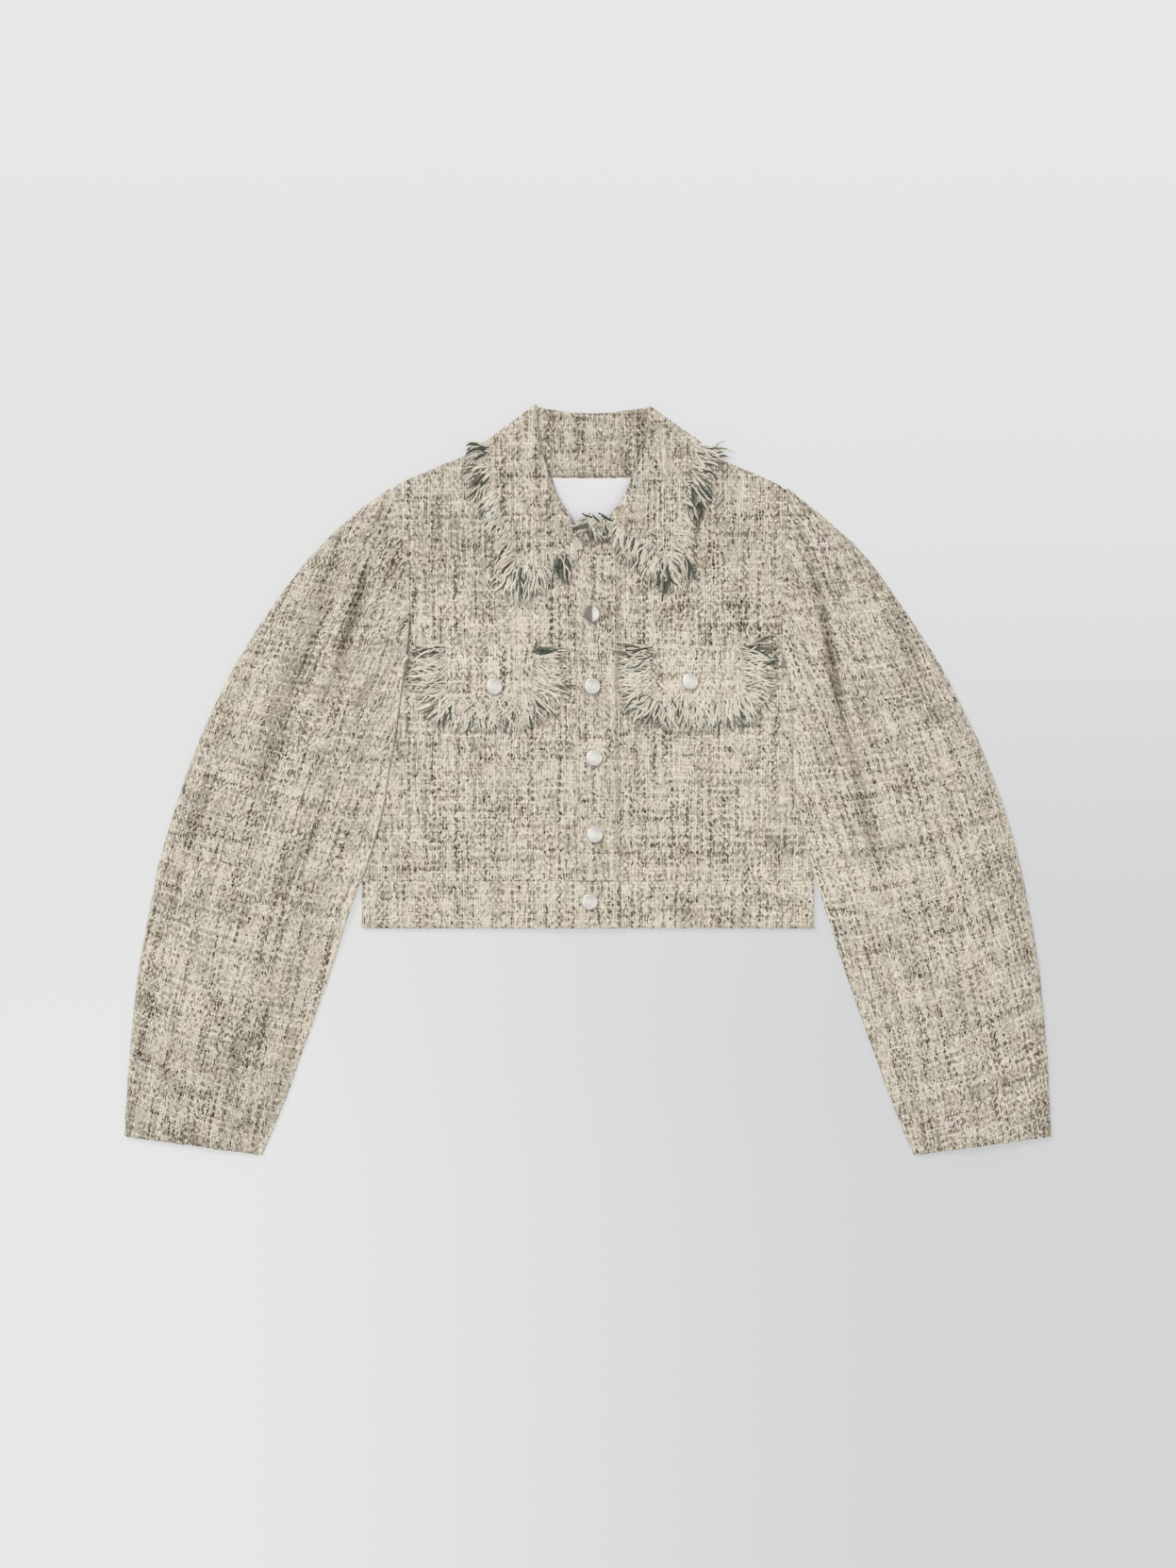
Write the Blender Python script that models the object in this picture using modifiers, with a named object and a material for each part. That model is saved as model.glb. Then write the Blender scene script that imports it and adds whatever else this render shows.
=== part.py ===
"""Cropped tweed jacket with fringed collar and pocket flaps, laid flat face up.

Metres, +Z up. The jacket lies on the plane z = 0 with its collar towards +Y. The wearer's right
side is at -X. Every cloth piece is an open sheet of points over the piece below it, thickened by
a Solidify modifier, so each layer lies on the one before it.
"""

import math
from collections import namedtuple

import bpy

# Cloth and the room between pieces.
WALL = 0.0022          # tweed with its lining
BAND_WALL = 0.0030     # waistband, tweed folded double
LABEL_WALL = 0.0006
LAY_GAP = 0.0005       # between layers that lie on each other
SEAM = 0.0003          # between pieces that are sewn edge to edge
CURVED_SEAM = 0.0006   # the same where both edges are curved and their facets differ

# Body, seen from above.
HALF_WIDTH = 0.2275    # hem and side edge, half of 455 mm
HEM_Y = -0.1496
WAIST_Y = -0.1020      # seam between the panels and the waistband
UNDERARM_Y = 0.088
NECK_X = 0.0043        # middle of neck, collar and placket
NECK_SEAM_Y = 0.305    # back neck seam

# Centre front.
PLACKET_LOW_X = -0.0119
PLACKET_HIGH_X = 0.0318
PLACKET_TOP_Y = 0.2380
UNDERLAP_X = -0.0220   # hidden edge of the left front, below the placket

# Rises that make room for what lies below, each with the stretch over which it comes or goes.
LIFT = WALL + LAY_GAP  # back and fronts pass over the collar's back fall
LIFT_RISE_Y = (0.195, 0.255)
LABEL_ROOM = 0.0012
LABEL_RISE_Y = (0.205, 0.245)
CROWN = 0.0030         # soft swell of the fronts
CROWN_FADE_X = (0.090, 0.170)
CROWN_RISE_Y = (-0.090, 0.0)
CROWN_FADE_Y = (0.150, 0.240)
LAP = WALL + LAY_GAP   # the right front's edge lies over the left front's
LAP_RISE_X = (-0.080, -0.030)
LAP_FADE_X = (PLACKET_HIGH_X + 0.004, 0.060)
STRIP_REST = 2.0 * WALL + 2.0 * LAY_GAP   # the sleeve lies over the body's side
REST_FADE_X = (HALF_WIDTH + 0.007, HALF_WIDTH + 0.032)
REST_FADE_Y = (0.136, 0.187)
SHOULDER_FADE_X = (0.200, 0.270)

# Sleeve section.
CURL = 0.014           # top sleeve reaches this far round onto the underside
EDGE_RADIUS = 0.0042
CROWN_SHAPE = 0.6      # lower makes the top of the section flatter
TOP_POINTS = 14
SLEEVE_RINGS = 21
UNDER_SHARES = [0.0, 0.07, 0.14, 0.21, 0.29, 0.42, 0.68, 1.0]   # from the inner edge, closest there
ARMPIT_SLACK = 0.010   # at the armhole the sections run almost along the sleeve's seam

# Points across and along the panels.
FRONT_COLUMNS = 12
NECK_ROWS_Y = [0.2560, 0.2750]
PLAIN_COLUMNS = 4      # a strip that lies level
LAPPED_COLUMNS = 22    # a strip that climbs onto another
BAND_ROWS = 3
PLACKET_ROWS = 14

BUTTON_RADIUS = 0.0083
BUTTON_HEIGHT = 0.0032
BUTTON_STEPS = 16

FRINGE_GAP = 0.0013    # from the cloth's edge to the strip that holds the strands
FRINGE_WIDTH = 0.0020
FRINGE_THICK = 0.0011
STRAND_TIP = 0.55      # tip width over root width
LEAF_STRANDS = 36      # on each collar leaf
BACK_STRANDS = 22      # on the back of the fall
FLAP_STRANDS = 34      # on each pocket flap
LEAF_DROOP = 0.75      # how far the strands lean towards the hem
BACK_DROOP = 0.30
FLAP_DROOP = 0.12
SHOULDER_STRAND = 0.027   # lengths: leaf's outer edge, more at its point, less at its front edge
POINT_EXTRA = 0.016
FRONT_LESS = 0.018
BACK_STRAND = 0.022
FLAP_STRAND = 0.030

# One row for each section of a sleeve, shoulder to cuff, as distances from the centre line.
# inner_right and inner_left differ because the sleeves are laid a little differently.
Section = namedtuple(
    "Section", "outer_x outer_y right_x right_y left_x left_y height")
SLEEVE = [
    Section(0.2009, 0.2959, 0.1838, 0.1202, 0.1950, 0.1297, 0.0060),
    Section(0.2427, 0.2627, 0.1895, 0.0774, 0.2060, 0.0870, 0.0095),
    Section(0.2788, 0.2266, 0.1943, 0.0423, 0.2066, 0.0489, 0.0135),
    Section(0.3102, 0.1867, 0.2000, 0.0109, 0.2066, 0.0138, 0.0165),
    Section(0.3396, 0.1430, 0.2047, -0.0204, 0.2085, -0.0176, 0.0180),
    Section(0.3662, 0.0955, 0.2123, -0.0527, 0.2161, -0.0508, 0.0185),
    Section(0.3909, 0.0394, 0.2225, -0.0869, 0.2250, -0.0865, 0.0185),
    Section(0.4118, -0.0176, 0.2360, -0.1221, 0.2360, -0.1221, 0.0185),
    Section(0.4289, -0.0746, 0.2484, -0.1601, 0.2484, -0.1601, 0.0180),
    Section(0.4413, -0.1316, 0.2608, -0.1981, 0.2608, -0.1981, 0.0170),
    Section(0.4517, -0.1886, 0.2750, -0.2389, 0.2750, -0.2389, 0.0155),
    Section(0.4584, -0.2456, 0.2902, -0.2807, 0.2902, -0.2807, 0.0140),
    Section(0.4631, -0.3026, 0.3064, -0.3263, 0.3064, -0.3263, 0.0120),
    Section(0.4660, -0.3586, 0.3282, -0.3776, 0.3282, -0.3776, 0.0105),
]
SEAM_BOW = {-1: 0.0114, 1: 0.0010}   # armhole seam bows towards the body, right and left sleeve

# One row for each large crease of a sleeve: its course and how deep and wide it is.
Crease = namedtuple("Crease", "points depth reach")
CREASES = {
    -1: [
        Crease([(0.214, 0.207), (0.238, 0.153), (0.248, 0.112)], 0.0075, 0.010),
        Crease([(0.273, 0.160), (0.304, 0.077), (0.327, -0.025), (0.331, -0.059)], 0.0045, 0.013),
        Crease([(0.228, 0.077), (0.246, 0.058)], 0.0040, 0.010),
        Crease([(0.273, -0.053), (0.314, -0.121)], 0.0050, 0.013),
        Crease([(0.314, -0.238), (0.372, -0.317)], 0.0036, 0.014),
        Crease([(0.457, -0.265), (0.403, -0.320)], 0.0020, 0.012),
    ],
    1: [
        Crease([(0.234, 0.188), (0.259, 0.085), (0.283, -0.053), (0.296, -0.107)], 0.0075, 0.011),
        Crease([(0.289, -0.155), (0.344, -0.210), (0.372, -0.224)], 0.0050, 0.013),
        Crease([(0.266, 0.105), (0.296, 0.037)], 0.0040, 0.011),
        Crease([(0.310, 0.173), (0.344, 0.043)], 0.0035, 0.014),
        Crease([(0.426, -0.251), (0.447, -0.286)], 0.0022, 0.012),
    ],
}

# Shoulder line of the body panels, from the sleeve to the neck.
SHOULDER = [(0.2945, 0.1995), (0.3007, 0.1905), (0.3197, 0.1430), (0.3500, 0.0630)]   # y, distance

# Inner edge of each front above the placket: distance from the neck's middle at each height.
FRONT_NECK = [(0.2380, 0.0165), (0.2608, 0.0285), (0.2817, 0.0409), (0.3080, 0.0493),
              (0.3500, 0.0560)]
BACK_NECK = [(0.3050, 0.0445), (0.3200, 0.0490), (0.3500, 0.0560)]

# One row for each section of a collar leaf, centre front to shoulder, from the neck's middle.
Leaf = namedtuple("Leaf", "roll_x roll_y edge_x edge_y")
LEAVES = {
    -1: [
        Leaf(0.0143, 0.2418, 0.0789, 0.2076),
        Leaf(0.0219, 0.2655, 0.0855, 0.2304),
        Leaf(0.0342, 0.2836, 0.0922, 0.2532),
        Leaf(0.0437, 0.3083, 0.0988, 0.2750),
        Leaf(0.0523, 0.3387, 0.1074, 0.3102),
        Leaf(0.0570, 0.3776, 0.1083, 0.3396),
    ],
    1: [
        Leaf(0.0162, 0.2608, 0.0798, 0.2152),
        Leaf(0.0200, 0.2690, 0.0865, 0.2370),
        Leaf(0.0304, 0.2820, 0.0903, 0.2598),
        Leaf(0.0400, 0.3050, 0.0988, 0.2850),
        Leaf(0.0520, 0.3330, 0.1078, 0.3140),
        Leaf(0.0583, 0.3757, 0.1097, 0.3396),
    ],
}
FALL_BACK = [                        # back of the fall, right shoulder to left shoulder
    Leaf(-0.0400, 0.3725, -0.0840, 0.3160),
    Leaf(-0.0200, 0.3697, -0.0480, 0.3010),
    Leaf(0.0000, 0.3685, 0.0000, 0.2970),
    Leaf(0.0200, 0.3697, 0.0480, 0.3010),
    Leaf(0.0400, 0.3725, 0.0840, 0.3160),
]
ROLL_Y = 0.3640        # top of the stand at the middle of the back
ROLL_DIP = 0.0050      # and how much higher its ends are
STAND_RISE = 0.0015
STAND_RISE_Y = (0.320, 0.366)
FALL_POINTS = 7
LEAF_SECTIONS = 9
FALL_FOLD = 0.0050     # half-width of the fold at each shoulder
ROLL_SWELL = 0.0020    # the leaf stands a little higher at its roll line

# Pocket flaps: where the top seam lies, and the flap's size.
FLAP_WIDTH = 0.1010
FLAP_DEPTH = 0.0560
FLAP_CORNER = 0.0150
FLAP_TOP_Y = 0.1344
FLAP_MIDDLE_X = {-1: -0.0988, 1: 0.1090}

LABEL_WIDTH = 0.0800
LABEL_HEIGHT = 0.0460

FRONT_BUTTONS = [              # x, y of the five buttons, top to bottom; the last is on the band
    (0.0033, 0.1667), (0.0043, 0.0941), (0.0062, 0.0219), (0.0067, -0.0551), (0.0017, -0.1226),
]
FLAP_BUTTONS = {-1: (-0.0941, 0.0936), 1: (0.1026, 0.0988)}


# ---------------------------------------------------------------- heights of the layers

def ramp(value, start, end):
    """Smooth step from 0 at start to 1 at end."""
    t = min(max((value - start) / (end - start), 0.0), 1.0)
    return t * t * (3.0 - 2.0 * t)


def lift(y):
    return LIFT * ramp(y, *LIFT_RISE_Y)


def crown(x, y):
    """Swell of the fronts above the back, and the room they leave for the neck label."""
    across = 1.0 - ramp(abs(x), *CROWN_FADE_X)
    along = ramp(y, *CROWN_RISE_Y) * (1.0 - ramp(y, *CROWN_FADE_Y))
    return CROWN * across * along + LABEL_ROOM * ramp(y, *LABEL_RISE_Y)


def lap_step(x):
    """1 where a piece lies over the left front's edge, 0 away from the centre front."""
    return ramp(x, *LAP_RISE_X) * (1.0 - ramp(x, *LAP_FADE_X))


def back_under(x, y):
    return lift(y)


def left_front_under(x, y):
    return lift(y) + WALL + LAY_GAP + crown(x, y)


def right_front_under(x, y):
    return left_front_under(x, y) + LAP * lap_step(x)


def fronts_top(x, y):
    """Top of whichever front lies uppermost."""
    return right_front_under(x, y) + WALL


def on_fronts(x, y):
    return fronts_top(x, y) + LAY_GAP


def band_back_under(x, y):
    return 0.0


def band_left_under(x, y):
    return BAND_WALL + LAY_GAP


def band_right_under(x, y):
    return (BAND_WALL + LAY_GAP) * (1.0 + lap_step(x))


def sleeve_rest(x, y):
    """Underside of a sleeve: on the ground, over the body's side, and raised at the shoulder."""
    away = abs(x)
    over_body = (1.0 - ramp(away, *REST_FADE_X)) * (1.0 - ramp(y, *REST_FADE_Y))
    at_shoulder = lift(y) * (1.0 - ramp(away, *SHOULDER_FADE_X))
    return STRIP_REST * over_body + at_shoulder


# ---------------------------------------------------------------- plan curves

def between(table, key):
    """Second column of a two-column table at the given first-column value, straight between rows."""
    if key <= table[0][0]:
        return table[0][1]
    for (low, first), (high, second) in zip(table, table[1:]):
        if key <= high:
            return first + (second - first) * (key - low) / (high - low)
    return table[-1][1]


def smooth_row(rows, position):
    """Row of a table at a fractional position, on a Catmull-Rom curve through the rows."""
    last = len(rows) - 1
    index = min(int(position), last - 1)
    t = position - index
    before = rows[max(index - 1, 0)]
    start = rows[index]
    end = rows[index + 1]
    after = rows[min(index + 2, last)]
    values = []
    for a, b, c, d in zip(before, start, end, after):
        values.append(0.5 * (2.0 * b + (c - a) * t
                             + (2.0 * a - 5.0 * b + 4.0 * c - d) * t * t
                             + (3.0 * b - a - 3.0 * c + d) * t * t * t))
    return type(start)(*values)


def sleeve_ends(side, position):
    """Outer end, inner end and height of the sleeve's section at a fractional row."""
    row = smooth_row(SLEEVE, position)
    inner = (row.right_x, row.right_y) if side < 0 else (row.left_x, row.left_y)
    return (row.outer_x, row.outer_y), inner, row.height


def across_sleeve(side, position, fraction):
    """Point, as a distance from the centre line, at a fraction from outer to inner end."""
    outer, inner, _ = sleeve_ends(side, position)
    along_x = inner[0] - outer[0]
    along_y = inner[1] - outer[1]
    length = math.hypot(along_x, along_y)
    bow = SEAM_BOW[side] * (1.0 - ramp(position, 0.0, 2.0)) * 4.0 * fraction * (1.0 - fraction)
    x = outer[0] + along_x * fraction + along_y / length * bow
    y = outer[1] + along_y * fraction - along_x / length * bow
    return x, y


def armhole_x(side, y):
    """Distance of the armhole seam from the centre line at a height between underarm and shoulder."""
    low, high = 0.0, 1.0
    for _ in range(30):
        middle = 0.5 * (low + high)
        if across_sleeve(side, 0.0, middle)[1] > y:
            low = middle
        else:
            high = middle
    return across_sleeve(side, 0.0, low)[0] - CURVED_SEAM


def side_x(side, y):
    """Distance of a body panel's side edge from the centre line: side, armhole, shoulder."""
    seam_end_y = (SLEEVE[0].right_y if side < 0 else SLEEVE[0].left_y)
    if y <= UNDERARM_Y:
        return HALF_WIDTH
    if y < seam_end_y:
        seam_x = armhole_x(side, seam_end_y)
        down = (seam_end_y - y) / (seam_end_y - UNDERARM_Y)
        return seam_x + (HALF_WIDTH - seam_x) * (1.0 - math.sqrt(1.0 - down * down))
    if y < SHOULDER[0][0]:
        return armhole_x(side, y)
    return between(SHOULDER, y) - CURVED_SEAM


def panel_heights(side):
    """Heights of a front panel's rows, closest where the outline turns."""
    seam_end_y = (SLEEVE[0].right_y if side < 0 else SLEEVE[0].left_y)
    rows = [WAIST_Y + (UNDERARM_Y - WAIST_Y) * k / 6.0 for k in range(7)]
    scoop = seam_end_y - UNDERARM_Y
    rows += [UNDERARM_Y + scoop * part for part in (0.06, 0.30, 0.65, 1.0)]
    straight = PLACKET_TOP_Y - seam_end_y
    rows += [seam_end_y + straight * k / 6.0 for k in range(1, 7)]
    return rows + NECK_ROWS_Y + [row[0] for row in SHOULDER]


# ---------------------------------------------------------------- building

def clear_scene():
    for thing in list(bpy.data.objects):
        bpy.data.objects.remove(thing, do_unlink=True)


def make_collection(name):
    collection = bpy.data.collections.new(name)
    bpy.context.scene.collection.children.link(collection)
    return collection


def make_material(name, colour, roughness, metallic=0.0):
    material = bpy.data.materials.new(name)
    material.use_nodes = True
    shader = material.node_tree.nodes["Principled BSDF"]
    shader.inputs["Base Color"].default_value = (*colour, 1.0)
    shader.inputs["Roughness"].default_value = roughness
    shader.inputs["Metallic"].default_value = metallic
    return material


def add_mesh(name, points, faces, material):
    mesh = bpy.data.meshes.new(name)
    mesh.from_pydata(points, [], faces)
    mesh.materials.append(material)
    mesh.shade_smooth()
    mesh.set_sharp_from_angle(angle=math.radians(50.0))
    thing = bpy.data.objects.new(name, mesh)
    JACKET.objects.link(thing)
    return thing


def thicken(thing, wall, offset):
    """Solidify to one side: offset 1 grows along the faces' normals, -1 against them."""
    solid = thing.modifiers.new("cloth", "SOLIDIFY")
    solid.thickness = wall
    solid.offset = offset
    solid.use_rim = True


def grid_faces(rows, columns, open_at=None):
    """Quads of a grid of points stored row by row; open_at(row, column) leaves a face out."""
    faces = []
    for row in range(rows - 1):
        for column in range(columns - 1):
            if open_at and open_at(row, column):
                continue
            first = row * columns + column
            faces.append((first, first + 1, first + columns + 1, first + columns))
    return faces


def lay_sheet(name, plan, rows, height, wall, material):
    """A sheet from rows of plan points, left to right and bottom to top, at a height, thickened up."""
    points = [(x, y, height(x, y)) for row in rows for x, y in plan(row)]
    columns = len(points) // len(rows)
    sheet = add_mesh(name, points, grid_faces(len(rows), columns), material)
    thicken(sheet, wall, 1.0)
    return sheet


def spread(low, high, count):
    return [low + (high - low) * k / (count - 1.0) for k in range(count)]


def make_front(side, under):
    """One front: the right one ends at the placket, the left one runs on below it."""
    inner = PLACKET_LOW_X - SEAM if side < 0 else UNDERLAP_X

    def plan(y):
        outer = side * side_x(side, y)
        if y <= PLACKET_TOP_Y:
            edge = inner
        elif side < 0:
            edge = NECK_X - between(FRONT_NECK, y)
        else:
            edge = NECK_X + between(FRONT_NECK, y)
        ends = (outer, edge) if side < 0 else (edge, outer)
        return [(x, y) for x in spread(*ends, FRONT_COLUMNS)]

    name = "front_right" if side < 0 else "front_left"
    return lay_sheet(name, plan, panel_heights(side), under, WALL, TWEED)


def make_back():
    """Back panel: full rows up to the neck seam, then one horn to each shoulder point."""
    heights = [WAIST_Y, 0.0] + [y for y in panel_heights(-1) if UNDERARM_Y <= y < NECK_SEAM_Y]
    heights += [NECK_SEAM_Y - SEAM, SHOULDER[2][0], SHOULDER[3][0]]
    points = []
    for y in heights:
        half_neck = between(BACK_NECK, y)
        left_part = spread(-side_x(-1, y), NECK_X - half_neck, 4)
        middle = spread(NECK_X - half_neck, NECK_X + half_neck, 3)[1:-1]
        right_part = spread(NECK_X + half_neck, side_x(1, y), 4)
        points += [(x, y, back_under(x, y)) for x in left_part + middle + right_part]
    columns = len(points) // len(heights)
    seam_row = sum(1 for y in heights if y < NECK_SEAM_Y) - 1

    def in_neck(row, column):
        return row >= seam_row and 3 <= column < 5

    faces = grid_faces(len(heights), columns, in_neck)
    used = sorted({index for face in faces for index in face})
    renumber = {old: new for new, old in enumerate(used)}
    faces = [tuple(renumber[index] for index in face) for face in faces]
    back = add_mesh("back", [points[index] for index in used], faces, TWEED)
    thicken(back, WALL, 1.0)
    return back


def make_strip(name, low_x, high_x, low_y, high_y, under, wall, columns, rows, material):
    """A straight-cut piece, such as the placket or a waistband."""
    def plan(y):
        return [(x, y) for x in spread(low_x, high_x, columns)]

    return lay_sheet(name, plan, spread(low_y, high_y, rows), under, wall, material)


# ---------------------------------------------------------------- sleeves

def crease_depth(side, x, y):
    """How far the creases press the sleeve's top down at a point."""
    depth = 0.0
    for crease in CREASES[side]:
        nearest = None
        total = len(crease.points) - 1
        for index, (start, end) in enumerate(zip(crease.points, crease.points[1:])):
            run_x = end[0] - start[0]
            run_y = end[1] - start[1]
            t = ((x - start[0]) * run_x + (y - start[1]) * run_y) / (run_x ** 2 + run_y ** 2)
            t = min(max(t, 0.0), 1.0)
            away = math.hypot(x - start[0] - run_x * t, y - start[1] - run_y * t)
            if nearest is None or away < nearest[0]:
                nearest = (away, (index + t) / total)
        away, along = nearest
        fade = 0.35 + 0.65 * math.sin(math.pi * min(max(along, 0.0), 1.0)) ** 0.5
        depth += crease.depth * fade * math.exp(-(away / crease.reach) ** 2)
    return depth


def sleeve_profile(width, height):
    """Section of a top sleeve as (distance from the outer end, height, share of the crown)."""
    radius = min(EDGE_RADIUS, 0.5 * height)
    bends = [-90.0, -45.0, 0.0, 45.0, 90.0]
    edge = [(radius - radius * math.cos(math.radians(a)),
             radius + radius * math.sin(math.radians(a))) for a in bends]
    profile = [(CURL, 0.0, 0.0)]
    profile += [(u, z, 0.0) for u, z in edge]
    flat = width - 2.0 * radius
    for k in range(1, TOP_POINTS):
        part = k / TOP_POINTS
        swell = (height - 2.0 * radius) * math.sin(math.pi * part) ** CROWN_SHAPE
        profile.append((radius + flat * part, 2.0 * radius + swell, math.sin(math.pi * part)))
    profile += [(width - u, z, 0.0) for u, z in reversed(edge)]
    profile.append((width - CURL, 0.0, 0.0))
    return profile


def make_top_sleeve(side):
    points = []
    for ring in range(SLEEVE_RINGS):
        position = (len(SLEEVE) - 1.0) * ring / (SLEEVE_RINGS - 1.0)
        outer, inner, height = sleeve_ends(side, position)
        width = math.dist(outer, inner)
        for distance, level, share in sleeve_profile(width, height):
            x, y = across_sleeve(side, position, distance / width)
            rest = sleeve_rest(x, y)
            z = level
            if share > 0.0:
                z -= crease_depth(side, x, y) * min(1.0, 2.0 * share)
                z = max(z, 2.0 * WALL + 2.0 * LAY_GAP)
            points.append((side * x, y, rest + z))
    columns = len(points) // SLEEVE_RINGS
    faces = grid_faces(SLEEVE_RINGS, columns)
    if side > 0:
        faces = [face[::-1] for face in faces]
    name = "top_sleeve_right" if side < 0 else "top_sleeve_left"
    sleeve = add_mesh(name, points, [face[::-1] for face in faces], TWEED)
    thicken(sleeve, WALL, -1.0)
    return sleeve


def make_under_sleeve(side):
    points = []
    for ring in range(SLEEVE_RINGS):
        position = (len(SLEEVE) - 1.0) * ring / (SLEEVE_RINGS - 1.0)
        outer, inner, _ = sleeve_ends(side, position)
        width = math.dist(outer, inner)
        low = CURL + 2.0 * CURVED_SEAM
        high = width - low - ARMPIT_SLACK * (1.0 - ramp(position, 0.0, 1.5))
        for share in UNDER_SHARES:
            distance = high + (low - high) * share
            x, y = across_sleeve(side, position, distance / width)
            points.append((side * x, y, sleeve_rest(x, y)))
    faces = grid_faces(SLEEVE_RINGS, len(UNDER_SHARES))
    if side > 0:
        faces = [face[::-1] for face in faces]
    name = "under_sleeve_right" if side < 0 else "under_sleeve_left"
    sleeve = add_mesh(name, points, faces, TWEED)
    thicken(sleeve, WALL, 1.0)
    return sleeve


# ---------------------------------------------------------------- collar

def leaf_top(x, y, fraction):
    """Upper face of a leaf, from the roll line (0) to its outer edge (1)."""
    return on_fronts(x, y) + WALL + ROLL_SWELL * (1.0 - fraction) ** 2


def fall_section(roll, edge, level):
    """Points from roll line to outer edge; level(x, y, fraction) gives the height."""
    section = []
    for k in range(FALL_POINTS):
        fraction = k / (FALL_POINTS - 1.0)
        x = roll[0] + (edge[0] - roll[0]) * fraction
        y = roll[1] + (edge[1] - roll[1]) * fraction
        section.append((x, y, level(x, y, fraction)))
    return section


def leaf_sections(side):
    """Sections of one leaf, from centre front to just before the fold at the shoulder."""
    rows = LEAVES[side]
    sections = []
    for k in range(LEAF_SECTIONS):
        row = smooth_row(rows, (len(rows) - 1.0) * k / LEAF_SECTIONS)
        roll = (NECK_X + side * row.roll_x, row.roll_y)
        edge = (NECK_X + side * row.edge_x, row.edge_y)
        sections.append(fall_section(roll, edge, leaf_top))
    return sections


def fold_sections(side):
    """Sections round the fold at the shoulder, from the upper face to the underside."""
    row = LEAVES[side][-1]
    roll = (NECK_X + side * row.roll_x, row.roll_y)
    edge = (NECK_X + side * row.edge_x, row.edge_y)
    length = math.dist(roll, edge)
    inward = (-side * (roll[1] - edge[1]) / length, -abs(roll[0] - edge[0]) / length)
    sections = []
    for angle in (90.0, 50.0, 10.0, -30.0, -65.0, -90.0):
        inset = FALL_FOLD * (1.0 - math.cos(math.radians(angle)))
        share = 0.5 + 0.5 * math.sin(math.radians(angle))

        def level(x, y, fraction, share=share):
            return leaf_top(x, y, fraction) * share

        moved_roll = (roll[0] + inward[0] * inset, roll[1] + inward[1] * inset)
        moved_edge = (edge[0] + inward[0] * inset, edge[1] + inward[1] * inset)
        sections.append(fall_section(moved_roll, moved_edge, level))
    return sections


def back_sections():
    return [fall_section((NECK_X + row.roll_x, row.roll_y), (NECK_X + row.edge_x, row.edge_y),
                         lambda x, y, fraction: 0.0) for row in FALL_BACK]


def make_fall():
    """Collar fall: right leaf, fold, back, fold, left leaf, as one cloth from point to point."""
    sections = leaf_sections(-1) + fold_sections(-1) + back_sections()
    sections += fold_sections(1)[::-1] + leaf_sections(1)[::-1]
    points = [point for section in sections for point in section]
    faces = grid_faces(len(sections), FALL_POINTS)
    fall = add_mesh("collar_fall", points, [face[::-1] for face in faces], TWEED)
    thicken(fall, WALL, -1.0)
    return fall


def make_stand():
    """Inside of the back collar, from the neck seam up to the roll line."""
    def plan(share):
        row = []
        for part in spread(-1.0, 1.0, 9):
            top = ROLL_Y + ROLL_DIP * part * part
            y = NECK_SEAM_Y + SEAM + (top - NECK_SEAM_Y - SEAM) * share
            half = between(BACK_NECK, y) - SEAM
            row.append((NECK_X + part * half, y))
        return row

    def height(x, y):
        return LIFT + STAND_RISE * ramp(y, *STAND_RISE_Y)

    return lay_sheet("collar_stand", plan, spread(0.0, 1.0, 6), height, WALL, TWEED)


def make_label():
    """Neck label on the inside of the back, plain."""
    top = NECK_SEAM_Y - 0.002

    def height(x, y):
        return back_under(x, y) + WALL + SEAM

    return make_strip("neck_label", NECK_X - LABEL_WIDTH / 2.0, NECK_X + LABEL_WIDTH / 2.0,
                      top - LABEL_HEIGHT, top, height, LABEL_WALL, 2, 2, LABEL_CLOTH)


# ---------------------------------------------------------------- pocket flaps

def flap_half_width(drop):
    """Half the flap's width at a distance below its top seam; the lower corners are round."""
    into_corner = drop - (FLAP_DEPTH - FLAP_CORNER)
    if into_corner <= 0.0:
        return FLAP_WIDTH / 2.0
    rest = FLAP_CORNER - math.sqrt(max(FLAP_CORNER ** 2 - into_corner ** 2, 0.0))
    return FLAP_WIDTH / 2.0 - rest


def make_flap(side):
    drops = [FLAP_DEPTH]
    drops += [FLAP_DEPTH - FLAP_CORNER * part for part in (0.06, 0.25, 0.55, 1.0)]
    drops += [FLAP_DEPTH * 0.5, FLAP_DEPTH * 0.25, 0.0]

    def plan(drop):
        half = flap_half_width(drop)
        return [(x, FLAP_TOP_Y - drop)
                for x in spread(FLAP_MIDDLE_X[side] - half, FLAP_MIDDLE_X[side] + half, 9)]

    name = "pocket_flap_right" if side < 0 else "pocket_flap_left"
    return lay_sheet(name, plan, drops, on_fronts, WALL, TWEED)


# ---------------------------------------------------------------- fringe

def edge_samples(path, count):
    """Evenly spaced points on a polyline, each with the direction to its right."""
    lengths = [math.dist(a, b) for a, b in zip(path, path[1:])]
    total = sum(lengths)
    samples = []
    for k in range(count):
        target = total * (k + 0.5) / count
        index = 0
        while index < len(lengths) - 1 and target > lengths[index]:
            target -= lengths[index]
            index += 1
        start, end = path[index], path[index + 1]
        share = target / lengths[index]
        run = ((end[0] - start[0]) / lengths[index], (end[1] - start[1]) / lengths[index])
        samples.append((start[0] + (end[0] - start[0]) * share,
                        start[1] + (end[1] - start[1]) * share, run[1], -run[0]))
    return samples


def smooth_directions(samples, reach):
    """Average each outward direction with its neighbours, so strands fan round a corner."""
    smoothed = []
    for k, (x, y, _, _) in enumerate(samples):
        near = samples[max(k - reach, 0):k + reach + 1]
        out_x = sum(sample[2] for sample in near)
        out_y = sum(sample[3] for sample in near)
        size = math.hypot(out_x, out_y)
        smoothed.append((x, y, out_x / size, out_y / size))
    return smoothed


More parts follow.
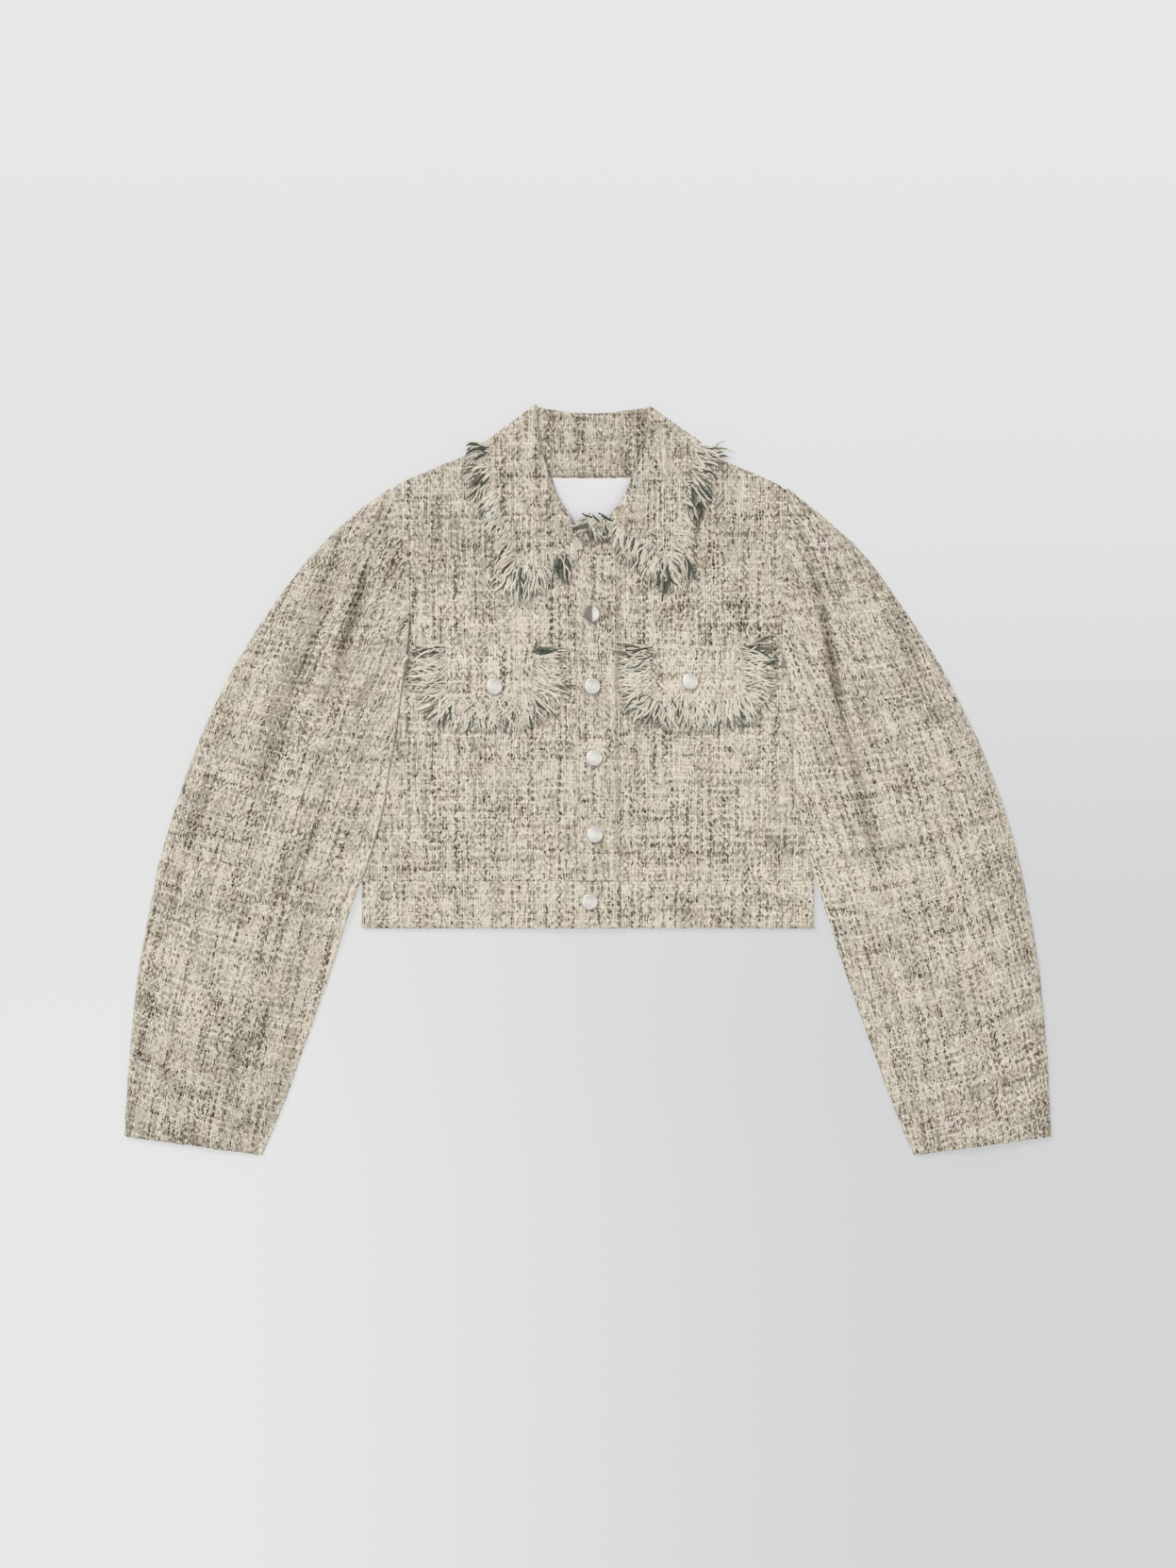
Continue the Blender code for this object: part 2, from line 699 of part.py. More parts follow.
def make_fringe(name, path, count, length, droop, level, floor):
    """A narrow strip along a cloth edge with strands on its outer side.

    path runs with the cloth on its left. length(k, count) gives a strand's length, droop how far
    the strands lean towards the hem, level the strip's underside and floor what the strands lie on.
    """
    samples = smooth_directions(edge_samples(path, count), 2)
    half_pitch = 0.5 * sum(math.dist(a, b) for a, b in zip(path, path[1:])) / count
    root = 0.56 * half_pitch
    stations = []
    for k, (x, y, out_x, out_y) in enumerate(samples):
        for shift in (-root, root):
            along = (-out_y * shift, out_x * shift)
            stations.append((x + along[0], y + along[1], out_x, out_y))
    points = []
    for x, y, out_x, out_y in stations:
        inner = (x + out_x * FRINGE_GAP, y + out_y * FRINGE_GAP)
        outer = (x + out_x * (FRINGE_GAP + FRINGE_WIDTH), y + out_y * (FRINGE_GAP + FRINGE_WIDTH))
        low = level(x, y)
        points += [(*inner, low), (*inner, low + FRINGE_THICK),
                   (*outer, low + FRINGE_THICK), (*outer, low)]
    faces = []
    for index in range(len(stations) - 1):
        a = 4 * index
        b = a + 4
        faces += [(a, a + 1, b + 1, b), (a + 1, a + 2, b + 2, b + 1), (a + 3, a, b, b + 3)]
        if index % 2 == 1:
            faces.append((a + 2, a + 3, b + 3, b + 2))
    last = 4 * (len(stations) - 1)
    faces += [(3, 2, 1, 0), (last, last + 1, last + 2, last + 3)]
    for k, (x, y, out_x, out_y) in enumerate(samples):
        sway = math.radians(4.0) * math.sin(0.7 * k)
        lean_x = out_x * math.cos(sway) - out_y * math.sin(sway)
        lean_y = out_x * math.sin(sway) + out_y * math.cos(sway) - droop
        size = math.hypot(lean_x, lean_y)
        strand_length = length(k, count)
        a = 8 * k
        ring = [a + 3, a + 2, a + 6, a + 7]
        start_x = x + out_x * (FRINGE_GAP + FRINGE_WIDTH)
        start_y = y + out_y * (FRINGE_GAP + FRINGE_WIDTH)
        for part in (0.45, 1.0):
            reach = strand_length * part
            turn = 0.5 + 0.5 * part
            dir_x = out_x * (1.0 - turn) + lean_x / size * turn
            dir_y = out_y * (1.0 - turn) + lean_y / size * turn
            middle = (start_x + dir_x * reach, start_y + dir_y * reach)
            half = root * (1.0 - (1.0 - STRAND_TIP) * part)
            low = floor(*middle)
            first = len(points)
            for shift, rise in ((-half, 0.0), (-half, FRINGE_THICK), (half, FRINGE_THICK),
                                (half, 0.0)):
                points.append((middle[0] - dir_y * shift, middle[1] + dir_x * shift, low + rise))
            new_ring = [first, first + 1, first + 2, first + 3]
            for j in range(4):
                following = (j + 1) % 4
                faces.append((ring[j], new_ring[j], new_ring[following], ring[following]))
            ring = new_ring
        faces.append(tuple(ring[::-1]))
    return add_mesh(name, points, faces, FRINGE)


def uneven(length, number):
    """Length of one strand, a little shorter or longer than its neighbours."""
    return length * (0.92 + 0.08 * math.cos(2.4 * number))


def make_leaf_fringe(side, count):
    """Fringe down a leaf's outer edge, round its point and along its front edge."""
    sections = leaf_sections(side)
    outer = [section[-1][:2] for section in sections[::-1]]
    front = [point[:2] for point in sections[0][::-1]][1:]
    path = outer + front
    if side > 0:
        path = path[::-1]

    def length(k, total):
        part = k / (total - 1.0) if side < 0 else 1.0 - k / (total - 1.0)
        longest = SHOULDER_STRAND + POINT_EXTRA * ramp(part, 0.35, 0.60)
        return uneven(longest - FRONT_LESS * ramp(part, 0.80, 1.0), k)

    name = "fringe_collar_right" if side < 0 else "fringe_collar_left"
    return make_fringe(name, path, count, length, LEAF_DROOP, on_fronts, on_fronts)


def make_back_fringe(count):
    """Fringe along the back of the collar fall, on the ground below the back panel."""
    path = [(NECK_X + row.edge_x, row.edge_y) for row in FALL_BACK]

    def length(k, total):
        return uneven(BACK_STRAND, k)

    def above_ground(x, y):
        return SEAM

    return make_fringe("fringe_collar_back", path, count, length, BACK_DROOP,
                       above_ground, above_ground)


def make_flap_fringe(side, count):
    """Fringe down one end of a flap, round the bottom and up the other end."""
    middle = FLAP_MIDDLE_X[side]
    half = FLAP_WIDTH / 2.0
    bottom = FLAP_TOP_Y - FLAP_DEPTH
    path = [(middle - half, FLAP_TOP_Y), (middle - half, bottom + FLAP_CORNER)]
    for angle in (195.0, 210.0, 225.0, 240.0, 255.0):
        turn = math.radians(angle)
        path.append((middle - half + FLAP_CORNER * (1.0 + math.cos(turn)),
                     bottom + FLAP_CORNER * (1.0 + math.sin(turn))))
    path += [(middle - half + FLAP_CORNER, bottom), (middle + half - FLAP_CORNER, bottom)]
    for angle in (285.0, 300.0, 315.0, 330.0, 345.0):
        turn = math.radians(angle)
        path.append((middle + half - FLAP_CORNER * (1.0 - math.cos(turn)),
                     bottom + FLAP_CORNER * (1.0 + math.sin(turn))))
    path += [(middle + half, bottom + FLAP_CORNER), (middle + half, FLAP_TOP_Y)]

    def length(k, total):
        return uneven(FLAP_STRAND, k)

    name = "fringe_flap_right" if side < 0 else "fringe_flap_left"
    return make_fringe(name, path, count, length, FLAP_DROOP, on_fronts, on_fronts)


# ---------------------------------------------------------------- buttons

def button_profile():
    """Half section of a shallow dished button, centre of the top to centre of the underside."""
    radius, height = BUTTON_RADIUS, BUTTON_HEIGHT
    return [(0.0, 0.72 * height), (0.62 * radius, 0.72 * height), (0.76 * radius, 0.97 * height),
            (0.90 * radius, height), (radius, 0.66 * height), (0.97 * radius, 0.25 * height),
            (0.80 * radius, 0.0), (0.0, 0.0)]


def make_button(name, x, y, z):
    points = [(radius, 0.0, level) for radius, level in button_profile()]
    edges = [(k, k + 1) for k in range(len(points) - 1)]
    mesh = bpy.data.meshes.new(name)
    mesh.from_pydata(points, edges, [])
    mesh.materials.append(PEARL)
    button = bpy.data.objects.new(name, mesh)
    JACKET.objects.link(button)
    button.location = (x, y, z)
    turned = button.modifiers.new("turned", "SCREW")
    turned.steps = BUTTON_STEPS
    turned.render_steps = BUTTON_STEPS
    turned.use_merge_vertices = True
    turned.merge_threshold = 0.00001
    turned.use_smooth_shade = True
    return button


def make_buttons():
    for number, (x, y) in enumerate(FRONT_BUTTONS, start=1):
        level = on_fronts(x, y)
        if y < WAIST_Y:
            level = band_right_under(x, y) + BAND_WALL + LAY_GAP
        make_button(f"button_front_{number}", x, y, level)
    for side, (x, y) in FLAP_BUTTONS.items():
        name = "button_flap_right" if side < 0 else "button_flap_left"
        make_button(name, x, y, on_fronts(x, y) + WALL + LAY_GAP)


# ---------------------------------------------------------------- the jacket

clear_scene()
JACKET = make_collection("cropped_tweed_jacket")
TWEED = make_material("tweed", (0.47, 0.43, 0.35), 0.92)
FRINGE = make_material("fringe_yarn", (0.46, 0.43, 0.34), 0.90)
PEARL = make_material("pearl_button", (0.72, 0.71, 0.70), 0.22, 0.35)
LABEL_CLOTH = make_material("label_cloth", (0.80, 0.80, 0.80), 0.75)

make_back()
make_front(-1, right_front_under)
make_front(1, left_front_under)
make_strip("placket", PLACKET_LOW_X, PLACKET_HIGH_X, WAIST_Y, PLACKET_TOP_Y,
           right_front_under, WALL, PLAIN_COLUMNS, PLACKET_ROWS, TWEED)
make_strip("waistband_back", -HALF_WIDTH, HALF_WIDTH, HEM_Y, WAIST_Y - SEAM,
           band_back_under, BAND_WALL, PLAIN_COLUMNS, BAND_ROWS, TWEED)
make_strip("waistband_front_left", UNDERLAP_X, HALF_WIDTH, HEM_Y, WAIST_Y - SEAM,
           band_left_under, BAND_WALL, PLAIN_COLUMNS, BAND_ROWS, TWEED)
make_strip("waistband_front_right", -HALF_WIDTH, PLACKET_HIGH_X, HEM_Y, WAIST_Y - SEAM,
           band_right_under, BAND_WALL, LAPPED_COLUMNS, BAND_ROWS, TWEED)
for sleeve_side in (-1, 1):
    make_top_sleeve(sleeve_side)
    make_under_sleeve(sleeve_side)
make_stand()
make_fall()
make_label()
for flap_side in (-1, 1):
    make_flap(flap_side)
    make_flap_fringe(flap_side, FLAP_STRANDS)
    make_leaf_fringe(flap_side, LEAF_STRANDS)
make_back_fringe(BACK_STRANDS)
make_buttons()
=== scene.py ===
"""Looks of the cropped tweed jacket, laid flat face up.

Metres, +Z up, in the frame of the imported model: the collar is towards +Y and the wearer's right
side at -X. Each cloth piece is a thin closed shell that lies where its solid lies, with the
creases and soft unevenness that the solids leave out. Its weave follows the "grain" attribute,
which holds how far across and along the cloth each point is. Where a function takes a side, -1 is
the wearer's right and 1 the left.
"""

import math
from collections import namedtuple

import bpy
import numpy as np
from mathutils import Matrix, Vector


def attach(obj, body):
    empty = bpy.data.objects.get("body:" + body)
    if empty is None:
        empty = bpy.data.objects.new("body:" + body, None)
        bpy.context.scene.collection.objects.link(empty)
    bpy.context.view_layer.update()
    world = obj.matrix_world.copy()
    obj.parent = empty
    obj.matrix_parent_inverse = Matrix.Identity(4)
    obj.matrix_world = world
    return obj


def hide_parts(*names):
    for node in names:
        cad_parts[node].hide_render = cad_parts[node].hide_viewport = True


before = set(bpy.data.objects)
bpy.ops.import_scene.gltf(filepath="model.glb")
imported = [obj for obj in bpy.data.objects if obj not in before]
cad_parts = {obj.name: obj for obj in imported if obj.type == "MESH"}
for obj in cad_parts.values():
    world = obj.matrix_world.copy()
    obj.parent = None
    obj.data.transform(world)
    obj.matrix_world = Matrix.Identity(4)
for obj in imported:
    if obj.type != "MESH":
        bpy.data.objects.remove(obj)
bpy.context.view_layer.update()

SIDES = {-1: "right", 1: "left"}

# ---------------------------------------------------------------- sizes of the solids

WALL = 0.0022
BAND_WALL = 0.0030
LABEL_WALL = 0.0006
LAY_GAP = 0.0005
SEAM = 0.0003
CURVED_SEAM = 0.0006

HALF_WIDTH = 0.2275
HEM_Y = -0.1496
WAIST_Y = -0.1020
UNDERARM_Y = 0.088
NECK_X = 0.0043
NECK_SEAM_Y = 0.305

PLACKET_LOW_X = -0.0119
PLACKET_HIGH_X = 0.0318
PLACKET_TOP_Y = 0.2380
UNDERLAP_X = -0.0220

LIFT = WALL + LAY_GAP
LIFT_RISE_Y = (0.195, 0.255)
LABEL_ROOM = 0.0012
LABEL_RISE_Y = (0.205, 0.245)
CROWN = 0.0030
CROWN_FADE_X = (0.090, 0.170)
CROWN_RISE_Y = (-0.090, 0.0)
CROWN_FADE_Y = (0.150, 0.240)
LAP_RISE_X = (-0.080, -0.030)
LAP_FADE_X = (PLACKET_HIGH_X + 0.004, 0.060)
STRIP_REST = 2.0 * LIFT
REST_FADE_X = (HALF_WIDTH + 0.007, HALF_WIDTH + 0.032)
REST_FADE_Y = (0.136, 0.187)
SHOULDER_FADE_X = (0.200, 0.270)

CURL = 0.014
EDGE_RADIUS = 0.0042
CROWN_SHAPE = 0.6
ARMPIT_SLACK = 0.010

BUTTON_RADIUS = 0.0083
BUTTON_HEIGHT = 0.0032

Section = namedtuple("Section", "outer_x outer_y right_x right_y left_x left_y height")
SLEEVE = [
    Section(0.2009, 0.2959, 0.1838, 0.1202, 0.1950, 0.1297, 0.0060),
    Section(0.2427, 0.2627, 0.1895, 0.0774, 0.2060, 0.0870, 0.0095),
    Section(0.2788, 0.2266, 0.1943, 0.0423, 0.2066, 0.0489, 0.0135),
    Section(0.3102, 0.1867, 0.2000, 0.0109, 0.2066, 0.0138, 0.0165),
    Section(0.3396, 0.1430, 0.2047, -0.0204, 0.2085, -0.0176, 0.0180),
    Section(0.3662, 0.0955, 0.2123, -0.0527, 0.2161, -0.0508, 0.0185),
    Section(0.3909, 0.0394, 0.2225, -0.0869, 0.2250, -0.0865, 0.0185),
    Section(0.4118, -0.0176, 0.2360, -0.1221, 0.2360, -0.1221, 0.0185),
    Section(0.4289, -0.0746, 0.2484, -0.1601, 0.2484, -0.1601, 0.0180),
    Section(0.4413, -0.1316, 0.2608, -0.1981, 0.2608, -0.1981, 0.0170),
    Section(0.4517, -0.1886, 0.2750, -0.2389, 0.2750, -0.2389, 0.0155),
    Section(0.4584, -0.2456, 0.2902, -0.2807, 0.2902, -0.2807, 0.0140),
    Section(0.4631, -0.3026, 0.3064, -0.3263, 0.3064, -0.3263, 0.0120),
    Section(0.4660, -0.3586, 0.3282, -0.3776, 0.3282, -0.3776, 0.0105),
]
LAST_SECTION = len(SLEEVE) - 1.0
SEAM_BOW = {-1: 0.0114, 1: 0.0010}
# how far inside the solid's outer edge each section of the cloth ends
OUTER_TRIM = {
    -1: (0.0030, 0.0024, 0.0014, 0.0014, 0.0014, 0.0004) + 8 * (0.0,),
    1: (0.0030, 0.0032, 0.0012, 0.0028, 0.0028, 0.0012, -0.0014, -0.0030, -0.0032, -0.0026,
        -0.0018, -0.0008, -0.0004, 0.0),
}

# half-widths from the centre line, by height
SHOULDER = [(0.2915, 0.1992), (0.2982, 0.1895), (0.3182, 0.1430), (0.3500, 0.0630)]
FRONT_NECK = [(0.2380, 0.0165), (0.2608, 0.0285), (0.2817, 0.0409), (0.3080, 0.0493), (0.3500, 0.0560)]
BACK_NECK = [(0.3050, 0.0445), (0.3200, 0.0490), (0.3500, 0.0560)]

Leaf = namedtuple("Leaf", "roll_x roll_y edge_x edge_y")
LEAVES = {
    -1: [
        Leaf(0.0143, 0.2418, 0.0789, 0.2076),
        Leaf(0.0219, 0.2655, 0.0855, 0.2304),
        Leaf(0.0342, 0.2836, 0.0922, 0.2532),
        Leaf(0.0437, 0.3083, 0.0988, 0.2750),
        Leaf(0.0523, 0.3387, 0.1074, 0.3102),
        Leaf(0.0570, 0.3776, 0.1083, 0.3396),
    ],
    1: [
        Leaf(0.0162, 0.2608, 0.0798, 0.2152),
        Leaf(0.0200, 0.2690, 0.0865, 0.2370),
        Leaf(0.0304, 0.2820, 0.0903, 0.2598),
        Leaf(0.0400, 0.3050, 0.0988, 0.2850),
        Leaf(0.0520, 0.3330, 0.1078, 0.3140),
        Leaf(0.0583, 0.3757, 0.1097, 0.3396),
    ],
}
FALL_BACK = [
    Leaf(-0.0400, 0.3725, -0.0840, 0.3160),
    Leaf(-0.0200, 0.3697, -0.0480, 0.3010),
    Leaf(0.0000, 0.3685, 0.0000, 0.2970),
    Leaf(0.0200, 0.3697, 0.0480, 0.3010),
    Leaf(0.0400, 0.3725, 0.0840, 0.3160),
]
LEAF_Z = 0.0040     # the leaves lie above this height and the back of the fall below it
STAND_RISE = 0.0015
STAND_RISE_Y = (0.320, 0.366)
FALL_FOLD = 0.0050
ROLL_SWELL = 0.0020

FLAP_WIDTH = 0.1010
FLAP_DEPTH = 0.0560
FLAP_CORNER = 0.0150
FLAP_TOP_Y = 0.1344
FLAP_MIDDLE_X = {-1: -0.0988, 1: 0.1090}

LABEL_WIDTH = 0.0800
LABEL_HEIGHT = 0.0460

FRONT_BUTTONS = [
    (0.0033, 0.1667), (0.0043, 0.0941), (0.0062, 0.0219), (0.0067, -0.0551), (0.0017, -0.1226),
]
FLAP_BUTTONS = {-1: (-0.0941, 0.0936), 1: (0.1026, 0.0988)}

# ---------------------------------------------------------------- sizes of the looks

STEP = 0.0026          # spacing of the points on cloth that shows
COARSE_STEP = 0.0065   # and on cloth that lies underneath
SEWN_ROUND = 0.0006    # how far an edge bulges where it is sewn to the next piece
JOINED_ROUND = 0.0002  # and where two pieces run on level with each other
ROLL_DROP = 0.0040     # how far a leaf rounds down over its roll line
STAND_ROLL = 0.0048    # and how far the stand rolls over towards the back
STAND_DROP = 0.0036    # and down
STAND_BESIDE = 0.0032  # how much higher the stand lies beside the leaves
TOWARDS_ROLL = 1.5     # power that sets the points of the fall closer together towards the roll
TUCK = 0.0014          # how far the fronts reach under the sleeve heads at the armholes
BAND_THINS = 0.0016    # how much thinner a front waistband is at its seam with the body
ON_FLAP = 0.0022       # from the fronts to the top of a flap

BODY_UNEVEN = 0.00045  # soft lift and sag of the laid fronts, and of the pieces named below
SLEEVE_UNEVEN = 0.0012
FALL_UNEVEN = 0.00035
STAND_UNEVEN = 0.0003
LABEL_UNEVEN = 0.0002
SLEEVE_CRUMPLE = 0.00022
EDGE_THINS = 0.0018    # how much thinner the placket gets towards its free edge
EDGE_SINKS = 0.0004    # and how much lower it lies there
FLAP_BOW = 0.0006      # how far a flap's lower part bows up
FLAP_SEAM_WALL = 0.0003
FLAP_WALL = 0.0018     # thickness of a flap at its seam and away from it
SEAM_DIP = 0.0013      # how far a sleeve head sinks into its seam
GATHER = 0.0004        # height of the gathers beside that seam
GATHER_PITCH = 0.026   # and from one gather to the next
YARN_BUMP = 0.00045    # how far thick yarns stand out along a sleeve's outline
FRONT_SWELL = 0.0020   # how far the right front swells up beside the sleeve that lies on it
INNER_SLOPE = 0.60     # how much more gently a sleeve rises from its inner edge than its outer
INNER_FLATTER = 0.42   # and how much less round that edge is
BUTTON_SINK = 0.0006   # how far a tilted button's low side sinks into the cloth
FLAP_BUTTON_SINK = 0.0004

# How much darker a top sleeve is towards its cuff and head, and how much paler painted light
# makes it at its inner edge and its seam with the body, to take off the shade there.
Tones = namedtuple("Tones", "cuff head inner seam")
SLEEVE_TONES = {-1: Tones(0.06, 0.03, 0.30, 0.22), 1: Tones(0.04, 0.01, 0.12, 0.08)}

# Each piece's number in the weave, which gives it threads of its own.
WEAVES = {
    "front_right": 1, "front_left": 2, "back": 3, "placket": 4, "waistband_back": 5,
    "waistband_front_left": 6, "waistband_front_right": 7, "top_sleeve_right": 10,
    "top_sleeve_left": 11, "under_sleeve_right": 12, "under_sleeve_left": 13, "collar_fall": 14,
    "collar_stand": 15, "neck_label": 16, "pocket_flap_right": 17, "pocket_flap_left": 17,
}

# Creases of each sleeve and front, from top to bottom: course as distances from the centre line,
# how deep and wide the trough is, how high the ridge beside it, on which side the ridge lies
# (1 is towards the body) and how much painted shade darkens the cloth down in it.
Crease = namedtuple("Crease", "points depth reach ridge side shade")
CREASES = {
    -1: [
        Crease([(0.2200, 0.2100), (0.2300, 0.1790), (0.2410, 0.1440), (0.2510, 0.1110)],
               0.0110, 0.0048, 0.0030, 1, 0.42),
        Crease([(0.2500, 0.1140), (0.2600, 0.0890), (0.2700, 0.0640)], 0.0050, 0.0050, 0.0015, 1, 0.20),
        Crease([(0.2060, 0.2660), (0.1960, 0.2300), (0.1860, 0.1990)], 0.0030, 0.0060, 0.0010, -1, 0.14),
        Crease([(0.252, 0.219), (0.2731, 0.1500), (0.2900, 0.1060), (0.3070, 0.0640),
                (0.3230, 0.0050), (0.3273, -0.0252), (0.3311, -0.0594)],
               0.0060, 0.0080, 0.0022, -1, 0.22),
        Crease([(0.2105, 0.1050), (0.2225, 0.0850), (0.2337, 0.0620)], 0.0045, 0.0060, 0.0012, 1, 0.22),
        Crease([(0.2780, -0.0600), (0.2960, -0.0980), (0.3150, -0.1200)],
               0.0035, 0.0075, 0.0012, 1, 0.08),
        Crease([(0.3140, -0.2380), (0.3415, -0.2722), (0.3719, -0.3168)],
               0.0048, 0.0120, 0.0016, 1, 0.13),
        Crease([(0.4574, -0.2646), (0.4033, -0.3197)], 0.0034, 0.0080, 0.0008, -1, 0.14),
        Crease([(0.3840, -0.0010), (0.3950, -0.0400), (0.4030, -0.0720)],
               0.0030, 0.0070, 0.0010, 1, 0.10),
    ],
    1: [
        Crease([(0.2230, 0.2150), (0.2310, 0.1860), (0.2400, 0.1520), (0.2490, 0.1000),
                (0.2570, 0.0640)], 0.0115, 0.0046, 0.0032, -1, 0.34),
        Crease([(0.2540, 0.0800), (0.2660, 0.0200), (0.2830, -0.0550), (0.2985, -0.1095)],
               0.0066, 0.0048, 0.0020, -1, 0.20),
        Crease([(0.2893, -0.1553), (0.3330, -0.2000), (0.3717, -0.2240), (0.3950, -0.2700)],
               0.0048, 0.0110, 0.0020, -1, 0.07),
        Crease([(0.2655, 0.1050), (0.2959, 0.0366)], 0.0040, 0.0075, 0.0016, 1, 0.10),
        Crease([(0.3102, 0.1734), (0.3254, 0.1145), (0.3368, 0.0679), (0.3640, 0.0480)],
               0.0042, 0.0090, 0.0014, -1, 0.12),
        Crease([(0.4261, -0.2513), (0.4470, -0.2855)], 0.0026, 0.0080, 0.0008, 1, 0.08),
    ],
}
FRONT_CREASES = {
    -1: [
        Crease([(0.2150, -0.0930), (0.1500, -0.0885), (0.0900, -0.0860)],
               0.0004, 0.0050, 0.0012, 1, 0.14),
        Crease([(0.1910, 0.0620), (0.1840, 0.0300), (0.1790, 0.0020)], 0.0004, 0.0060, 0.0012, 1, 0.12),
    ],
    1: [
        Crease([(0.1380, -0.0470), (0.1750, -0.0570), (0.2120, -0.0720)],
               0.0004, 0.0055, 0.0012, 1, 0.14),
    ],
}

# Locks of yarn that stand out of the collar's fringe: place, how far the roots scatter, range of
# headings in degrees (0 to the right, 90 up), length, number of yarns and share of dark ones.
Tuft = namedtuple("Tuft", "x y spread headings length count dark")
TUFTS = {
    -1: [
        Tuft(-0.1050, 0.3310, 0.006, (150.0, 215.0), 0.020, 16, 0.35),
        Tuft(-0.1060, 0.3020, 0.008, (200.0, 250.0), 0.022, 14, 0.45),
        Tuft(-0.0270, 0.2230, 0.005, (250.0, 285.0), 0.031, 13, 0.75),
        Tuft(-0.0590, 0.2070, 0.009, (248.0, 288.0), 0.031, 18, 0.25),
        Tuft(0.0020, 0.2600, 0.008, (190.0, 350.0), 0.020, 22, 0.30),
    ],
    1: [
        Tuft(0.1160, 0.3290, 0.006, (315.0, 370.0), 0.029, 16, 0.25),
        Tuft(0.1080, 0.2900, 0.010, (265.0, 320.0), 0.024, 16, 0.45),
        Tuft(0.0740, 0.2150, 0.006, (255.0, 295.0), 0.030, 10, 0.50),
        Tuft(0.1000, 0.2250, 0.004, (260.0, 300.0), 0.028, 6, 0.60),
        Tuft(0.0120, 0.2600, 0.008, (190.0, 350.0), 0.020, 22, 0.22),
    ],
}

# Slopes of the sleeve's threads: the upright ones from the vertical, the level ones from the
# level, and the height and width over which they change.
CUFF_LEAN = 0.17
HEAD_LEAN = 0.42
INNER_SINK = 0.08
OUTER_SINK = 0.44
CUFF_Y = -0.3600
SLEEVE_LENGTH = 0.5600
SLEEVE_SPREAD = 0.2300


# ---------------------------------------------------------------- small sums

def ramp(value, start, end):
    """Smooth step from 0 at start to 1 at end."""
    t = np.clip((value - start) / (end - start), 0.0, 1.0)
    return t * t * (3.0 - 2.0 * t)


def waves(x, y, seed, shortest, longest, count=16):
    """Soft unevenness: sine waves of seeded heading and length, about 1 high at most places."""
    draw = np.random.default_rng(seed)
    total = np.zeros_like(x, dtype=float)
    for _ in range(count):
        length = draw.uniform(shortest, longest)
        heading = draw.uniform(0.0, math.pi)
        phase = draw.uniform(0.0, 2.0 * math.pi)
        across = x * math.cos(heading) + y * math.sin(heading)
        total += np.sin(2.0 * math.pi * across / length + phase)
    return total / math.sqrt(count)


def unit(vectors):
    return vectors / np.maximum(np.linalg.norm(vectors, axis=-1, keepdims=True), 1e-12)


def joined(x, y, z):
    """Points or vectors from their three parts, any of which may be one number."""
    return np.stack(np.broadcast_arrays(x, y, z), axis=-1).astype(float)


def between(table, key):
    return float(np.interp(key, *zip(*table)))


def spaced(low, high, step):
    """Evenly spaced values from low to high, about a step apart."""
    return np.linspace(low, high, max(int(round((high - low) / step)), 1) + 1)


def measured(path):
    """A path as an array, and how far along it each of its points is."""
    path = np.array(path, float)
    steps = np.linalg.norm(np.diff(path, axis=0), axis=1)
    return path, np.concatenate([[0.0], np.cumsum(steps)])


def smooth_rows(rows, positions):
    """Rows of a table at fractional positions, on a Catmull-Rom curve; one array row each."""
    table = np.array(rows, float)
    last = len(rows) - 1
    positions = np.asarray(positions, float)
    index = np.minimum(positions.astype(int), last - 1)
    t = (positions - index).reshape((-1,) + (1,) * (table.ndim - 1))
    a, b = table[np.maximum(index - 1, 0)], table[index]
    c, d = table[index + 1], table[np.minimum(index + 2, last)]
    return 0.5 * (2.0 * b + (c - a) * t + (2.0 * a - 5.0 * b + 4.0 * c - d) * t ** 2
                  + (3.0 * b - a - 3.0 * c + d) * t ** 3)


def refine(grid, rows, columns):
    """A coarse grid of points resampled smoothly in both directions."""
    tall = smooth_rows(grid, np.linspace(0.0, len(grid) - 1.0, rows))
    wide = smooth_rows(np.swapaxes(tall, 0, 1), np.linspace(0.0, tall.shape[1] - 1.0, columns))
    return np.swapaxes(wide, 0, 1)


# ---------------------------------------------------------------- heights of the layers

def lift(y):
    return LIFT * ramp(y, *LIFT_RISE_Y)


def crown(x, y):
    across = 1.0 - ramp(np.abs(x), *CROWN_FADE_X)
    along = ramp(y, *CROWN_RISE_Y) * (1.0 - ramp(y, *CROWN_FADE_Y))
    return CROWN * across * along + LABEL_ROOM * ramp(y, *LABEL_RISE_Y)


def lap_step(x):
    return ramp(x, *LAP_RISE_X) * (1.0 - ramp(x, *LAP_FADE_X))


def body_uneven(x, y):
    """Unevenness that the fronts and all that lies on them share; none under the sleeves."""
    inside = (1.0 - ramp(np.abs(x), 0.150, 0.195)) * ramp(y, WAIST_Y, WAIST_Y + 0.030)
    return BODY_UNEVEN * (1.0 + waves(x, y, 11, 0.045, 0.140)) * inside


def left_front_under(x, y):
    return lift(y) + LIFT + crown(x, y) + body_uneven(x, y)


def right_front_under(x, y):
    return left_front_under(x, y) + LIFT * lap_step(x)


def on_fronts(x, y):
    return right_front_under(x, y) + LIFT


def on_placket(x, y):
    return right_front_under(x, y) + WALL


def on_flap(x, y):
    return on_fronts(x, y) + ON_FLAP


def on_floor(x, y):
    return 0.0 * x


def band_left_under(x, y):
    return on_floor(x, y) + BAND_WALL + LAY_GAP


def band_right_under(x, y):
    return band_left_under(x, y) * (1.0 + lap_step(x))


def front_band_wall(x, y):
    return BAND_WALL - BAND_THINS * ramp(y, WAIST_Y - 0.006, WAIST_Y)


def on_left_band(x, y):
    return band_left_under(x, y) + front_band_wall(x, y)


def on_right_band(x, y):
    return band_right_under(x, y) + front_band_wall(x, y)


